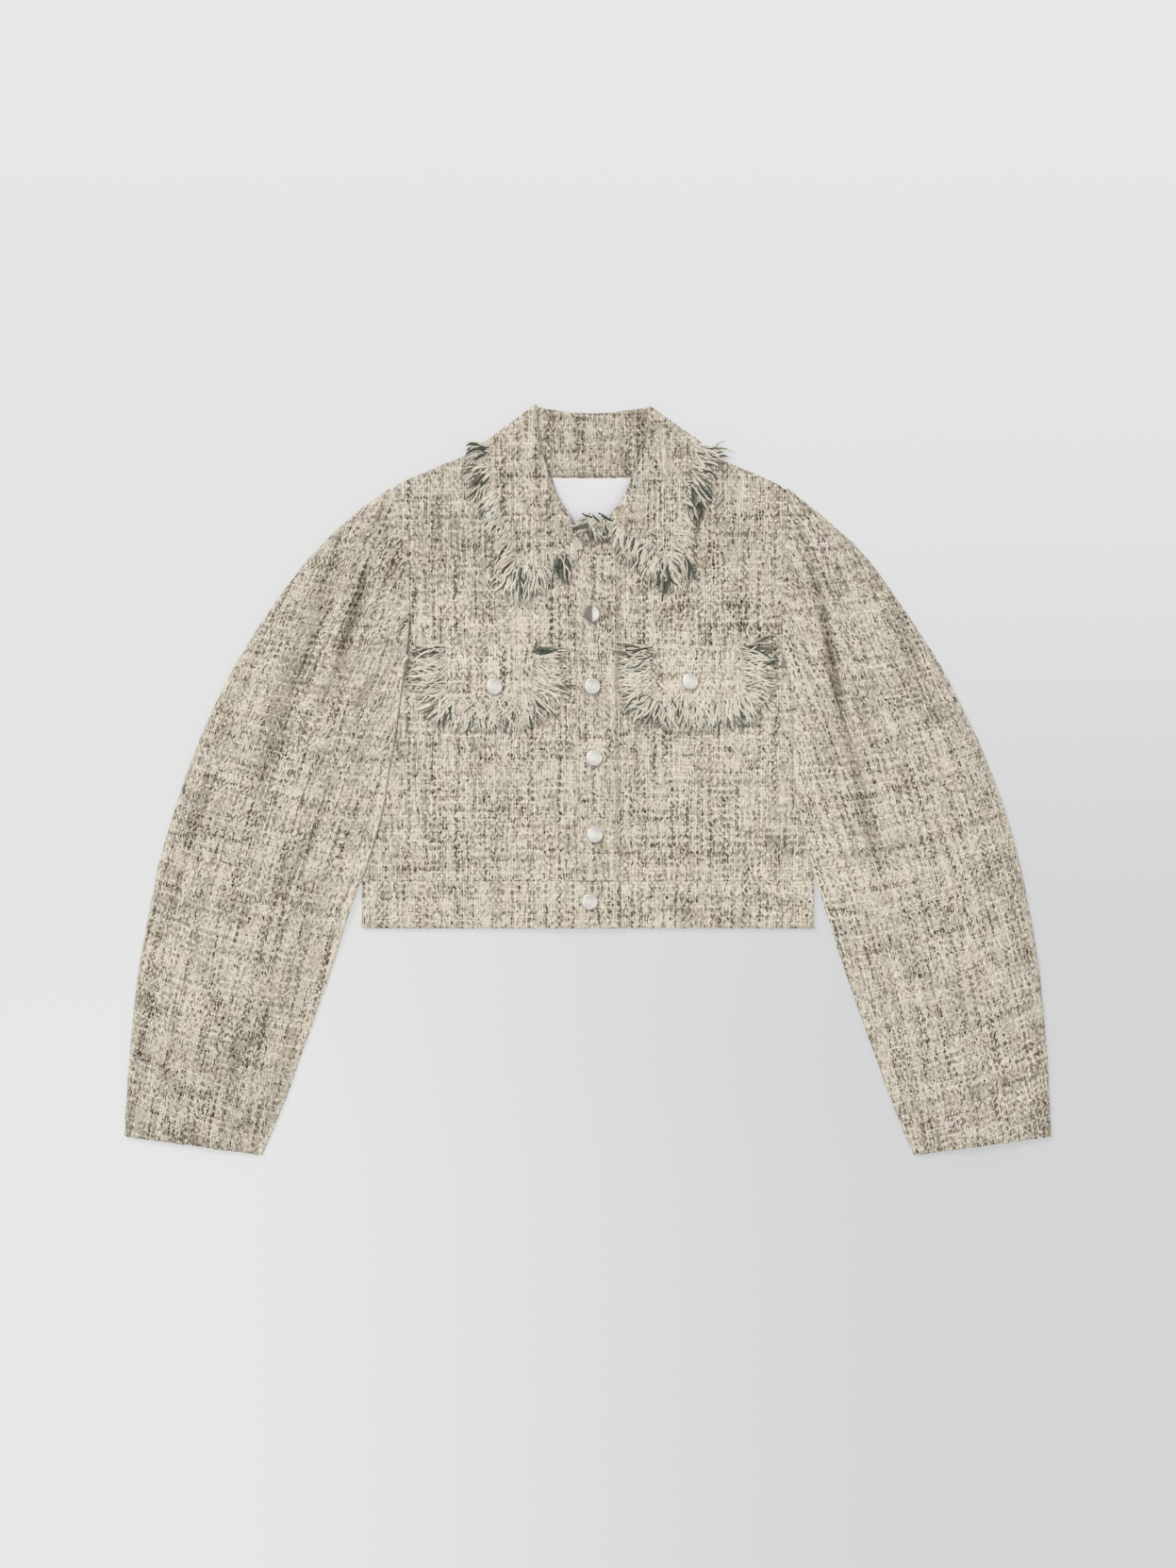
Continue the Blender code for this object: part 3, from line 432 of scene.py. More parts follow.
def sleeve_rest(x, y):
    """Underside of a sleeve; x is its distance from the centre line."""
    over_body = (1.0 - ramp(x, *REST_FADE_X)) * (1.0 - ramp(y, *REST_FADE_Y))
    return STRIP_REST * over_body + lift(y) * (1.0 - ramp(x, *SHOULDER_FADE_X))


# ---------------------------------------------------------------- plan curves

def sleeve_frame(side, positions):
    """Outer ends, inner ends and heights of the sleeve's sections at fractional rows."""
    rows = smooth_rows(SLEEVE, positions)
    inner = rows[:, 2:4] if side < 0 else rows[:, 4:6]
    trim = np.interp(positions, np.arange(len(SLEEVE)), OUTER_TRIM[side])
    outer = rows[:, 0:2] - trim[:, None] * unit(rows[:, 0:2] - inner)
    return outer, inner, rows[:, 6]


def across_sleeve(side, positions, fractions):
    """Points, as distances from the centre line, at fractions from outer to inner end."""
    outer, inner, _ = sleeve_frame(side, positions)
    along = inner - outer
    across = along / np.linalg.norm(along, axis=1)[:, None]
    fade = 1.0 - ramp(np.asarray(positions, float), 0.0, 2.0)
    bow = (SEAM_BOW[side] * fade)[:, None] * 4.0 * fractions * (1.0 - fractions)
    x = outer[:, 0:1] + along[:, 0:1] * fractions + across[:, 1:2] * bow
    y = outer[:, 1:2] + along[:, 1:2] * fractions - across[:, 0:1] * bow
    return x, y


def armhole_table(side):
    """The armhole seam as (y, distance) rows, from underarm to shoulder."""
    x, y = across_sleeve(side, [0.0], np.linspace(1.0, 0.0, 200)[None, :])
    return list(zip(y[0], x[0] - CURVED_SEAM))


ARMHOLE = {side: armhole_table(side) for side in SIDES}


def side_x(side, y):
    """Distance of a body panel's side edge from the centre line."""
    seam_end_y = SLEEVE[0].right_y if side < 0 else SLEEVE[0].left_y
    if y <= UNDERARM_Y:
        return HALF_WIDTH
    if y < seam_end_y:
        seam_x = between(ARMHOLE[side], seam_end_y)
        down = (seam_end_y - y) / (seam_end_y - UNDERARM_Y)
        return seam_x + (HALF_WIDTH - seam_x) * (1.0 - math.sqrt(1.0 - down * down))
    if y < SHOULDER[0][0]:
        return between(ARMHOLE[side], y)
    return between(SHOULDER, y) - CURVED_SEAM


# ---------------------------------------------------------------- creases

def crease_relief(creases, x, y):
    """Troughs and the ridges beside them, as heights to add, and the shade down in them."""
    relief, shade = np.zeros_like(x), np.zeros_like(x)
    for crease in creases:
        count = len(crease.points)
        course, starts = measured(smooth_rows(crease.points, np.linspace(0.0, count - 1.0, 8 * count)))
        best = np.full(x.shape, np.inf)
        signed, along = np.zeros_like(x), np.zeros_like(x)
        for k, (start, run) in enumerate(zip(course, np.diff(course, axis=0))):
            t = ((x - start[0]) * run[0] + (y - start[1]) * run[1]) / (run @ run)
            t = np.clip(t, 0.0, 1.0)
            off_x = x - start[0] - run[0] * t
            off_y = y - start[1] - run[1] * t
            away = np.hypot(off_x, off_y)
            nearer = away < best
            best = np.where(nearer, away, best)
            # going down the sleeve, the body is on the side where this product is positive
            towards = np.sign(run[1] * off_x - run[0] * off_y)
            signed = np.where(nearer, away * towards, signed)
            passed = starts[k] + t * (starts[k + 1] - starts[k])
            along = np.where(nearer, passed / starts[-1], along)
        fade = np.sin(math.pi * np.clip(0.06 + 0.88 * along, 0.0, 1.0)) ** 0.7
        trough = np.exp(-(best / crease.reach) ** 1.5)
        beside = signed * crease.side - 2.4 * crease.reach
        ridge = np.exp(-(beside / (1.5 * crease.reach)) ** 2)
        relief += fade * (crease.ridge * ridge - crease.depth * trough)
        shade += fade * crease.shade * trough
    return relief, shade


# ---------------------------------------------------------------- nodes

class Value:
    """What a node puts out. Sums and products of such values make the nodes for them."""

    def __init__(self, nodes, socket):
        self.nodes = nodes
        self.socket = socket

    def __add__(self, other):
        return self.nodes.math("ADD", self, other)

    def __radd__(self, other):
        return self.nodes.math("ADD", other, self)

    def __mul__(self, other):
        return self.nodes.math("MULTIPLY", self, other)

    def __neg__(self):
        return self * -1.0

    def __sub__(self, other):
        return self + -other

    def __rsub__(self, other):
        return other + -self


class Nodes:
    """Short calls for building the nodes of one material or world."""

    def __init__(self, owner, shader="Principled BSDF"):
        owner.use_nodes = True
        self.owner = owner
        self.tree = owner.node_tree
        self.shader = self.tree.nodes[shader]

    def feed(self, socket, value):
        if isinstance(value, Value):
            self.tree.links.new(value.socket, socket)
        elif isinstance(value, tuple) and len(value) == 3 and len(socket.default_value) == 4:
            socket.default_value = (*value, 1.0)
        else:
            socket.default_value = value

    def add(self, kind, inputs, output=0, **settings):
        """One output of a new node; inputs are by name or number."""
        node = self.tree.nodes.new(kind)
        for key, value in settings.items():
            setattr(node, key, value)
        for key, value in inputs.items():
            self.feed(node.inputs[key], value)
        return Value(self, node.outputs[output])

    def math(self, operation, *values):
        return self.add("ShaderNodeMath", dict(enumerate(values)), operation=operation)

    def vector(self, *parts):
        return self.add("ShaderNodeCombineXYZ", dict(enumerate(parts)))

    def split(self, vector):
        return [self.add("ShaderNodeSeparateXYZ", {0: vector}, part) for part in range(3)]

    def attribute(self, name, output="Vector"):
        return self.add("ShaderNodeAttribute", {}, output, attribute_name=name)

    def object_place(self, output="Object"):
        return self.add("ShaderNodeTexCoord", {}, output)

    def noise(self, place, scale=1.0, detail=1.0, roughness=0.5):
        """Smooth noise, about 0.2 to 0.8, at a place given as a value or as its three parts."""
        if isinstance(place, tuple):
            place = self.vector(*place)
        return self.add("ShaderNodeTexNoise", {"Vector": place, "Scale": scale, "Detail": detail,
                                               "Roughness": roughness}, "Fac")

    def draw(self, x, y, z):
        """A random number that is fixed for each whole-number place."""
        noise = self.add("ShaderNodeTexWhiteNoise", {"Vector": self.vector(x, y, z)}, "Color",
                         noise_dimensions="3D")
        return self.add("ShaderNodeSeparateColor", {0: noise})

    def step(self, value, start, end, low=0.0, high=1.0, shape="SMOOTHSTEP"):
        """Smooth step from low at start to high at end."""
        return self.add("ShaderNodeMapRange", dict(enumerate((value, start, end, low, high))),
                        interpolation_type=shape)

    def mix(self, factor, first, second, blend="MIX"):
        return self.add("ShaderNodeMix", {0: factor, 6: first, 7: second}, 2, data_type="RGBA",
                        blend_type=blend)

    def ramp(self, factor, stops):
        """Colour ramp from (place, red, green, blue) stops, or (place, grey) ones."""
        shade = self.add("ShaderNodeValToRGB", {0: factor})
        band = shade.socket.node.color_ramp
        while len(band.elements) < len(stops):
            band.elements.new(0.5)
        for element, (place, *colour) in zip(band.elements, stops):
            element.position = place
            element.color = (*(colour * 3)[:3], 1.0)
        return shade

    def bump(self, height, distance, strength=1.0):
        bumps = self.add("ShaderNodeBump", {"Height": height, "Distance": distance,
                                            "Strength": strength})
        self.feed(self.shader.inputs["Normal"], bumps)

    def finish(self, colour, roughness, sheen=0.0, metallic=0.0):
        for key, value in (("Base Color", colour), ("Roughness", roughness), ("Metallic", metallic),
                           ("Sheen Weight", sheen), ("Sheen Roughness", 0.6)):
            self.feed(self.shader.inputs[key], value)
        return self.owner


def new_material(name):
    return Nodes(bpy.data.materials.new(name))


def linear(*screen):
    """Linear colour from 0 to 255 screen values."""
    parts = [value / 255.0 for value in screen]
    return tuple(part / 12.92 if part <= 0.04045 else ((part + 0.055) / 1.055) ** 2.4 for part in parts)


def screen_stops(*stops):
    """Stops of a colour ramp, given in screen values."""
    return [(place, *linear(*colour)) for place, *colour in stops]


# ---------------------------------------------------------------- materials

WARP_PITCH = 0.00275       # from one upright thread to the next
WEFT_PITCH = 0.00350       # from one level thread to the next

# Tone of the cloth from its palest yarn to its darkest, by darkness from 0 to 1, and its tints.
TONES = screen_stops((0.00, 230, 222, 208), (0.22, 210, 201, 186), (0.45, 170, 160, 144),
                     (0.70, 110, 99, 80), (1.00, 58, 47, 28))
TINTS = [(0.36, 0.955, 1.00, 0.985), (0.46, 0.983, 1.00, 0.99), (0.52, 0.995, 0.998, 0.988),
         (0.58, 1.02, 0.995, 0.970), (0.68, 1.005, 0.975, 1.01)]
THREAD_TONES = [(0.00, 0.04), (0.35, 0.18), (0.72, 0.44), (0.88, 0.58), (1.00, 0.76)]
HOLE_TONES = [(0.00, 0.0), (0.30, 0.12), (0.62, 0.46), (1.00, 0.90)]


def tweed_material():
    """Plain weave of thick, uneven yarns, about 3 mm apart.

    At every other crossing the upright thread lies on top, and at the others the level one does.
    Each thread has its own tone, which drifts from pale to dark and back along its length, so
    that dark threads show as rows of short dashes that come and go in an uneven check.
    """
    n = new_material("tweed_looks")
    across, along, piece = n.split(n.attribute("grain"))

    def wobble(*place):
        place = n.vector(*place)
        return (n.noise(place, 45.0) - 0.5) * 1.2 + (n.noise(place, 270.0) - 0.5) * 1.5

    def thread_tone(number, length, base, run, start, spread):
        """Darkness of a thread: its own tone and a drift along its length."""
        drift = n.noise((number * 5.17, length * run, piece + start), 1.0, 2.0) - 0.5
        return n.ramp(base, THREAD_TONES) + drift * spread

    def pale_thread(number, length, off, start):
        """A thin pale thread that lies on top for a stretch."""
        run = n.noise((number * 3.31, length * 26.0, piece + start))
        return n.step(off, 0.24, 0.08) * n.step(run, 0.47, 0.60)

    u = across * (1.0 / WARP_PITCH) + wobble(across, along, piece * 0.37)
    v = along * (1.0 / WEFT_PITCH) + wobble(along, across, piece * 0.37 + 5.0)
    column, row = n.math("FLOOR", u), n.math("FLOOR", v)
    off_column = n.math("ABSOLUTE", n.math("FRACT", u) - 0.5)
    off_row = n.math("ABSOLUTE", n.math("FRACT", v) - 0.5)
    upright = n.math("FLOORED_MODULO", column + row, 2.0)
    level = 1.0 - upright

    warp = thread_tone(column, along, n.draw(column, 31.0, piece), 12.0, 0.0, 2.8)
    weft = thread_tone(row, across, n.draw(17.0, row, piece), 19.0, 40.0, 1.8)
    tone = n.math("MAXIMUM", upright * warp + level * weft, 0.05)
    tone = tone + (n.draw(column, row, piece) - 0.5) * 0.30
    side = upright * off_column + level * off_row
    end = upright * off_row + level * off_column
    reach = 0.44 + upright * 0.22
    inside = n.step(side, 0.46, 0.22) * n.step(end - reach, 0.0, -0.20)
    tone = n.math("MAXIMUM", tone, 0.0) * inside
    pale = (pale_thread(column, along, off_column, 7.0)
            + pale_thread(row, across, off_row, 23.0) * 0.55)
    streaks = n.noise((across * 520.0, along * 210.0, piece), 1.0, 1.5, 0.6) - 0.5
    patches = n.noise((across * 70.0, along * 16.0, piece)) + n.noise((across * 16.0, along * 70.0, piece))

    # holes between the yarns, darkest in rows that follow a thread for a stretch
    corner_x, corner_y = n.math("FLOOR", u + 0.5), n.math("FLOOR", v + 0.5)
    to_corner = n.math("MAXIMUM", 0.5 - off_column, 0.39 + off_row * -0.78)
    hole = (n.step(to_corner, 0.45, 0.14)
            * n.ramp(n.draw(corner_x, corner_y, piece + 60.0), HOLE_TONES))
    upright_run = n.noise((corner_x * 4.71, along * 9.0, piece + 80.0))
    level_run = n.noise((corner_y * 3.93, across * 9.0, piece + 90.0))
    runs = n.math("MAXIMUM", n.step(upright_run, 0.48, 0.66), n.step(level_run, 0.53, 0.70))
    hole = hole * ((0.56 + runs * 1.05) * n.step(patches, 0.78, 1.22, 0.85, 1.15))

    darkness = tone * 0.70 + (inside * -0.17 + 0.05) + hole * 0.62
    darkness = darkness + (pale * -0.28 + streaks * 0.50)
    # the tone attribute adds painted shade in creases and beside other pieces, and painted light where
    # their shadows fall
    darkness = darkness + n.attribute("tone", "Fac") + patches * 0.20
    tint = n.noise((u * 0.10, along * 20.0, piece)) + n.noise((across * 20.0, v * 0.10, piece + 9.0))
    colour = n.mix(1.0, n.ramp(darkness, TONES), n.ramp(tint * 0.5, TINTS), "MULTIPLY")
    n.bump(-darkness, 0.0010, 0.6)
    return n.finish(colour, 0.92, sheen=0.15)


def yarn_material():
    """Loose yarns of the fringe: the "strand" attribute is (tint, share of length, turn).

    Tints below 0.8 are pale yarns with dark stretches, the rest are dark ones.
    """
    n = new_material("fringe_looks")
    tint, share, turn = n.split(n.attribute("strand"))
    pale = n.ramp(tint, screen_stops((0.00, 238, 231, 215), (0.25, 230, 221, 203), (0.42, 218, 213, 197),
                                     (0.52, 208, 208, 194), (0.66, 226, 211, 192), (0.79, 206, 196, 178)))
    dark = n.ramp(tint, screen_stops((0.80, 132, 128, 108), (0.88, 96, 102, 86), (0.95, 62, 76, 62),
                                     (1.00, 82, 70, 54)))
    is_dark = n.step(tint, 0.79, 0.81)
    stretch = n.noise((tint * 173.0, share * 5.0, 0.0)) + share * 0.07
    darkness = n.math("MAXIMUM", n.step(stretch, 0.58, 0.74, 0.0, 0.70), is_dark)
    colour = n.mix(darkness, pale, n.mix(is_dark, linear(92, 94, 80), dark))
    twist = n.math("SINE", share * 70.0 + turn * (2.0 * math.pi))
    fuzz = n.noise((share * 22.0, turn * 3.0, tint * 40.0), 2.0, 2.0)
    # painted shade along the twist of the plies and among the fibres darkens the yarn's colour
    depth = 0.76 + (twist * 0.05 + fuzz * 0.44)
    colour = n.mix(1.0, colour, n.vector(depth, depth, depth), "MULTIPLY")
    n.bump(twist * 0.5 + fuzz, 0.0004, 0.8)
    return n.finish(colour, 0.9, sheen=0.15)


def thread_material():
    """Sewing thread in the cloth's own pale tone."""
    n = new_material("thread_looks")
    fuzz = n.noise(n.object_place(), 900.0)
    n.bump(fuzz, 0.0002, 0.5)
    return n.finish(n.ramp(fuzz, screen_stops((0.3, 190, 182, 160), (0.7, 224, 216, 196))), 0.7)


def label_material():
    """Bare white satin label with fine cross threads."""
    n = new_material("label_looks")
    across, along, _ = n.split(n.attribute("grain"))
    ribs = n.math("SINE", along * (2.0 * math.pi / 0.0006))
    fine = n.noise((across * 300.0, along * 1500.0, 0.0))
    n.bump(ribs * 0.3 + fine, 0.0001, 0.4)
    colour = n.ramp(fine, screen_stops((0.3, 219, 217, 221), (0.7, 230, 228, 232)))
    return n.finish(colour, 0.5, sheen=0.1)


def button_material():
    """Pale polished metal, slightly scuffed, with a painted reflection: a slanting bright band, greyer
    beside it.
    """
    n = new_material("button_looks")
    across, along, painted_dark_reflection = n.split(n.attribute("grain"))
    scuffs = n.noise(n.object_place(), 500.0, 3.0)
    # painted reflection: a bright slanting band, greyer beside it; and on one button a painted dark
    # reflection over its left half
    slant = along * 0.94 + (across * 0.25 - 0.05)
    off_painted_reflection = n.step(n.math("ABSOLUTE", slant), 0.15, 0.60)
    colour = n.ramp(scuffs, screen_stops((0.3, 228, 224, 217), (0.7, 237, 234, 228)))
    colour = n.mix(off_painted_reflection * 0.55, colour, linear(203, 199, 197))
    colour = n.mix(painted_dark_reflection * n.step(across, 0.10, -0.12, 0.0, 0.85), colour, linear(112, 103, 94))
    n.bump(scuffs, 0.00006, 0.3)
    return n.finish(colour, n.step(scuffs, 0.35, 0.75, 0.18, 0.30), metallic=0.30)


TWEED = tweed_material()
YARN = yarn_material()
THREAD = thread_material()
LABEL = label_material()
SILVER = button_material()


# ---------------------------------------------------------------- meshes

def make_object(name, points, faces, material, slot_name, node=None, **marks):
    """A mesh that rides on the jacket, stands in for a node and stores marks at its points."""
    mesh = bpy.data.meshes.new(name)
    mesh.from_pydata(np.asarray(points).tolist(), [], [tuple(face) for face in faces])
    mesh.materials.append(material)
    mesh.shade_smooth()
    for key, values in marks.items():
        values = np.asarray(values, np.float32)
        kind, field = ("FLOAT", "value") if values.ndim == 1 else ("FLOAT_VECTOR", "vector")
        mesh.attributes.new(key, kind, "POINT").data.foreach_set(field, values.ravel())
    thing = bpy.data.objects.new(name, mesh)
    bpy.context.scene.collection.objects.link(thing)
    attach(thing, "root")
    if node:
        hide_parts(node)
    return thing


def grid_normals(points):
    return unit(np.cross(np.gradient(points, axis=1), np.gradient(points, axis=0)))


def grid_quads(rows, columns):
    first = (np.arange(rows - 1)[:, None] * columns + np.arange(columns - 1)).ravel()
    return np.stack([first, first + 1, first + columns + 1, first + columns], axis=1)


def ring_quads(upper, lower):
    """Faces between two closed rings of points."""
    return np.stack([upper, lower, np.roll(lower, -1), np.roll(upper, -1)], axis=1)


def boundary_loop(rows, columns):
    """Indices round a grid, anticlockwise as seen from its outer side."""
    index = np.arange(rows * columns).reshape(rows, columns)
    return np.concatenate([index[0], index[1:, -1], index[-1, -2::-1], index[-2:0:-1, 0]])


def shell(node, top, bottom, across, along, edge, tone=0.0, material=TWEED, slot_name="tweed"):
    """A closed thin shell between two grids of points, with half-round edges.

    top is the outer side. Its columns run to the right and its rows up as seen from outside.
    across and along are the places in the weave. edge is how far the edges bulge. tone darkens
    the cloth, all over or point by point, and lightens it where below 0; in places it holds painted
    shade, in creases and beside other pieces, and painted light where their shadows fall.
    """
    rows, columns = top.shape[:2]
    grain = joined(across, along, WEAVES[node])
    count = rows * columns
    loop = boundary_loop(rows, columns)
    outer, inner, grain = (part.reshape(-1, 3).copy() for part in (top, bottom, grain))
    ragged = np.random.default_rng(rows + columns).uniform(-1.0, 1.0, (len(loop), 1))
    edge = edge + min(0.5 * edge, 0.0004) * ragged
    through = outer[loop] - inner[loop]
    ahead = np.roll(outer[loop], -1, axis=0) - np.roll(outer[loop], 1, axis=0)
    sideways = edge * unit(np.cross(unit(ahead), unit(through)))
    outer[loop] -= sideways
    inner[loop] -= sideways
    middle = 0.5 * (outer[loop] + inner[loop])
    turns = [math.radians(angle) for angle in (45.0, 90.0, 135.0)]
    rounds = [middle + math.sin(turn) * sideways + 0.5 * math.cos(turn) * through for turn in turns]
    points = np.concatenate([outer, inner] + rounds)
    points[:, 2] = np.maximum(points[:, 2], 0.0)

    rings = [2 * count + k * len(loop) + np.arange(len(loop)) for k in range(len(turns))]
    rings = [loop] + rings + [count + loop]
    quads = grid_quads(rows, columns)
    faces = [quads, quads[:, ::-1] + count]
    faces += [ring_quads(upper, lower) for upper, lower in zip(rings, rings[1:])]

    def for_all(marks):
        return np.concatenate([marks, marks] + len(turns) * [marks[loop]])

    return make_object(f"cloth_{node}", points, np.concatenate(faces), material, slot_name, node,
                       grain=for_all(grain),
                       tone=for_all(np.broadcast_to(tone, (rows, columns)).ravel()))


def lay(node, x, y, under, wall, edge, shift=(0.0, 0.0), **looks):
    """A shell on the height function under, with its weave straight and shifted a little.

    wall is its thickness or a function.
    """
    low = under(x, y)
    thickness = wall(x, y) if callable(wall) else wall
    return shell(node, joined(x, y, low + thickness), joined(x, y, low), x + shift[0], y + shift[1],
                 edge, **looks)


def row_grid(heights, ends, step):
    """Plan grid with straight rows from ends(y) = (left x, right x) at each height."""
    lefts, rights = np.array([ends(y) for y in heights]).T
    columns = len(spaced(0.0, float(np.max(rights - lefts)), step))
    x = lefts[:, None] + (rights - lefts)[:, None] * np.linspace(0.0, 1.0, columns)
    return x, np.repeat(np.asarray(heights, float)[:, None], columns, axis=1)


def declare(grid, flat=None):
    """How large a sheet was cut: its grid's own size unless given. The size is worked out and not used."""
    if flat is None:
        span = np.ptp(grid.reshape(-1, 3), axis=0)
        flat = (round(float(span[0]), 3), round(float(span[1]), 3))


# ---------------------------------------------------------------- body panels

def make_front(side):
    heights = spaced(WAIST_Y - 0.0006, SHOULDER[-1][0], STEP)

    def ends(y):
        outer = side * side_x(side, y)
        if UNDERARM_Y < y < SHOULDER[0][0]:
            low_part = ramp(y, UNDERARM_Y, UNDERARM_Y + 0.02) * (1.0 - ramp(y, 0.128, 0.146))
            outer += side * (TUCK + 0.0035 * low_part)
        if y > PLACKET_TOP_Y:
            return sorted((outer, NECK_X + side * between(FRONT_NECK, y)))
        return sorted((outer, PLACKET_LOW_X + 0.0005 if side < 0 else UNDERLAP_X))

    x, y = row_grid(heights, ends, STEP)
    # tone starts as painted shade down in the creases
    relief, tone = crease_relief(FRONT_CREASES[side], np.abs(x), y)
    tone += 0.05 * ramp(y, 0.18, 0.24)
    if side < 0:
        _, sleeve_edge, _ = sleeve_frame(side, np.linspace(0.0, LAST_SECTION, 60))
        edge_x = np.interp(-y, -sleeve_edge[:, 1], sleeve_edge[:, 0])
        # painted light along the sleeve's inner edge takes off the shadow that the sleeve casts on the
        # front
        tone -= 0.08 * np.exp(-np.abs(np.abs(x) - edge_x) / 0.004)
        # the cloth swells up against the sleeve that lies on it
        swell = np.exp(-((edge_x - np.abs(x) - 0.003) / 0.003) ** 2)
        relief += FRONT_SWELL * swell * (1.0 - ramp(y, 0.085, 0.115))
    front_under = right_front_under if side < 0 else left_front_under
    thing = lay(f"front_{SIDES[side]}", x, y, lambda x, y: front_under(x, y) + relief, WALL,
                JOINED_ROUND, tone=tone)
    declare(joined(x, y, 0.0))


def make_back():
    """Back panel below the neck seam, and one horn up to each shoulder point."""
    heights = np.concatenate([spaced(WAIST_Y, NECK_SEAM_Y - SEAM, COARSE_STEP),
                              spaced(NECK_SEAM_Y + 0.003, SHOULDER[-1][0], COARSE_STEP)])
    side_columns, neck_columns = 30, 12
    rows_x = []
    for y in heights:
        half = between(BACK_NECK, y)
        left = np.linspace(-side_x(-1, y), NECK_X - half, side_columns)
        middle = np.linspace(NECK_X - half, NECK_X + half, neck_columns + 2)[1:-1]
        right = np.linspace(NECK_X + half, side_x(1, y), side_columns)
        rows_x.append(np.concatenate([left, middle, right]))
    x = np.array(rows_x)
    rows, columns = x.shape
    y = np.repeat(heights[:, None], columns, axis=1)
    quads = grid_quads(rows, columns)
    row, column = np.divmod(quads[:, 0], columns)
    above_seam = row >= int(np.sum(heights < NECK_SEAM_Y)) - 1
    neck_hole = above_seam & (column >= side_columns - 1) & (column < columns - side_columns)
    used, faces = np.unique(quads[~neck_hole], return_inverse=True)
    thing = make_object("cloth_back", joined(x, y, lift(y)).reshape(-1, 3)[used],
                        faces.reshape(-1, 4), TWEED, "tweed", "back",
                        grain=joined(x, y, WEAVES["back"]).reshape(-1, 3)[used])
    solid = thing.modifiers.new("cloth", "SOLIDIFY")
    solid.thickness = WALL
    solid.offset = 1.0
    declare(joined(x, y, 0.0))


def make_strip(node, ends_x, ends_y, under, wall, step):
    """A straight-cut piece, such as the placket or a waistband."""
    x, y = np.meshgrid(spaced(*ends_x, step), spaced(*ends_y, step))
    thing = lay(node, x, y, under, wall, JOINED_ROUND)
    declare(joined(x, y, 0.0))


def make_body():
    def thinned(x):
        return ramp(x, PLACKET_HIGH_X - 0.007, PLACKET_HIGH_X)

    make_back()
    for side in SIDES:
        make_front(side)
    make_strip("placket", (PLACKET_LOW_X, PLACKET_HIGH_X), (WAIST_Y, PLACKET_TOP_Y),
               lambda x, y: right_front_under(x, y) - EDGE_SINKS * thinned(x),
               lambda x, y: WALL - EDGE_THINS * thinned(x), STEP)
    band_y = (HEM_Y, WAIST_Y - SEAM)
    back, left = "waistband_back", "waistband_front_left"
    make_strip(back, (-HALF_WIDTH, HALF_WIDTH), band_y, on_floor, BAND_WALL, COARSE_STEP)
    make_strip(left, (UNDERLAP_X, HALF_WIDTH), band_y, band_left_under, front_band_wall, STEP)
    make_strip("waistband_front_right", (-HALF_WIDTH, PLACKET_HIGH_X), band_y, band_right_under,
               front_band_wall, STEP)


# ---------------------------------------------------------------- sleeves

def sleeve_grain(x, y):
    """Threads that lean outwards on their way down, most at the head; x is from the centre line.

    The level threads sink towards the body, more so near the outer edge.
    """
    up = y - CUFF_Y
    across = x + CUFF_LEAN * up + 0.5 * (HEAD_LEAN - CUFF_LEAN) / SLEEVE_LENGTH * up ** 2
    out = x - HALF_WIDTH
    along = y - INNER_SINK * out - 0.5 * (OUTER_SINK - INNER_SINK) / SLEEVE_SPREAD * out ** 2
    return across, along


def sleeve_levels(positions, width, height):
    """Round each section of a top sleeve, from under one edge to under the other.

    Gives how far from the outer edge and how high its points are, and how much of the arch
    between the rounded edges they have: 0 on the edges and 1 at the middle.
    """
    radius = np.minimum(EDGE_RADIUS, 0.5 * height)
    inner_radius = radius * (1.0 - INNER_FLATTER * ramp(positions, 0.0, 1.0))[:, None]
    curl = CURL + (radius - CURL) * np.linspace(0.0, 0.85, 4)
    turn = np.radians(np.linspace(-90.0, 90.0, 9))
    bend = radius - radius * np.cos(turn)
    part = np.linspace(0.0, 1.0, 92)[1:-1]
    over = radius + (width - 2.0 * radius) * part
    rim = 2.0 * (radius + (inner_radius - radius) * part)
    arch = np.sin(math.pi * part)
    level = rim + (height - rim) * arch ** (CROWN_SHAPE + INNER_SLOPE * part ** 2)
    low = 0.0 * curl
    distances = np.hstack([curl, bend, over, width - bend[:, ::-1], width - curl[:, ::-1]])
    levels = np.hstack([low, radius + radius * np.sin(turn), level,
                        inner_radius + inner_radius * np.sin(turn[::-1]), low])
    edge = np.zeros(low.shape[1] + len(turn))
    shares = np.concatenate([edge, arch, edge])
    return distances, levels, np.broadcast_to(shares, levels.shape)


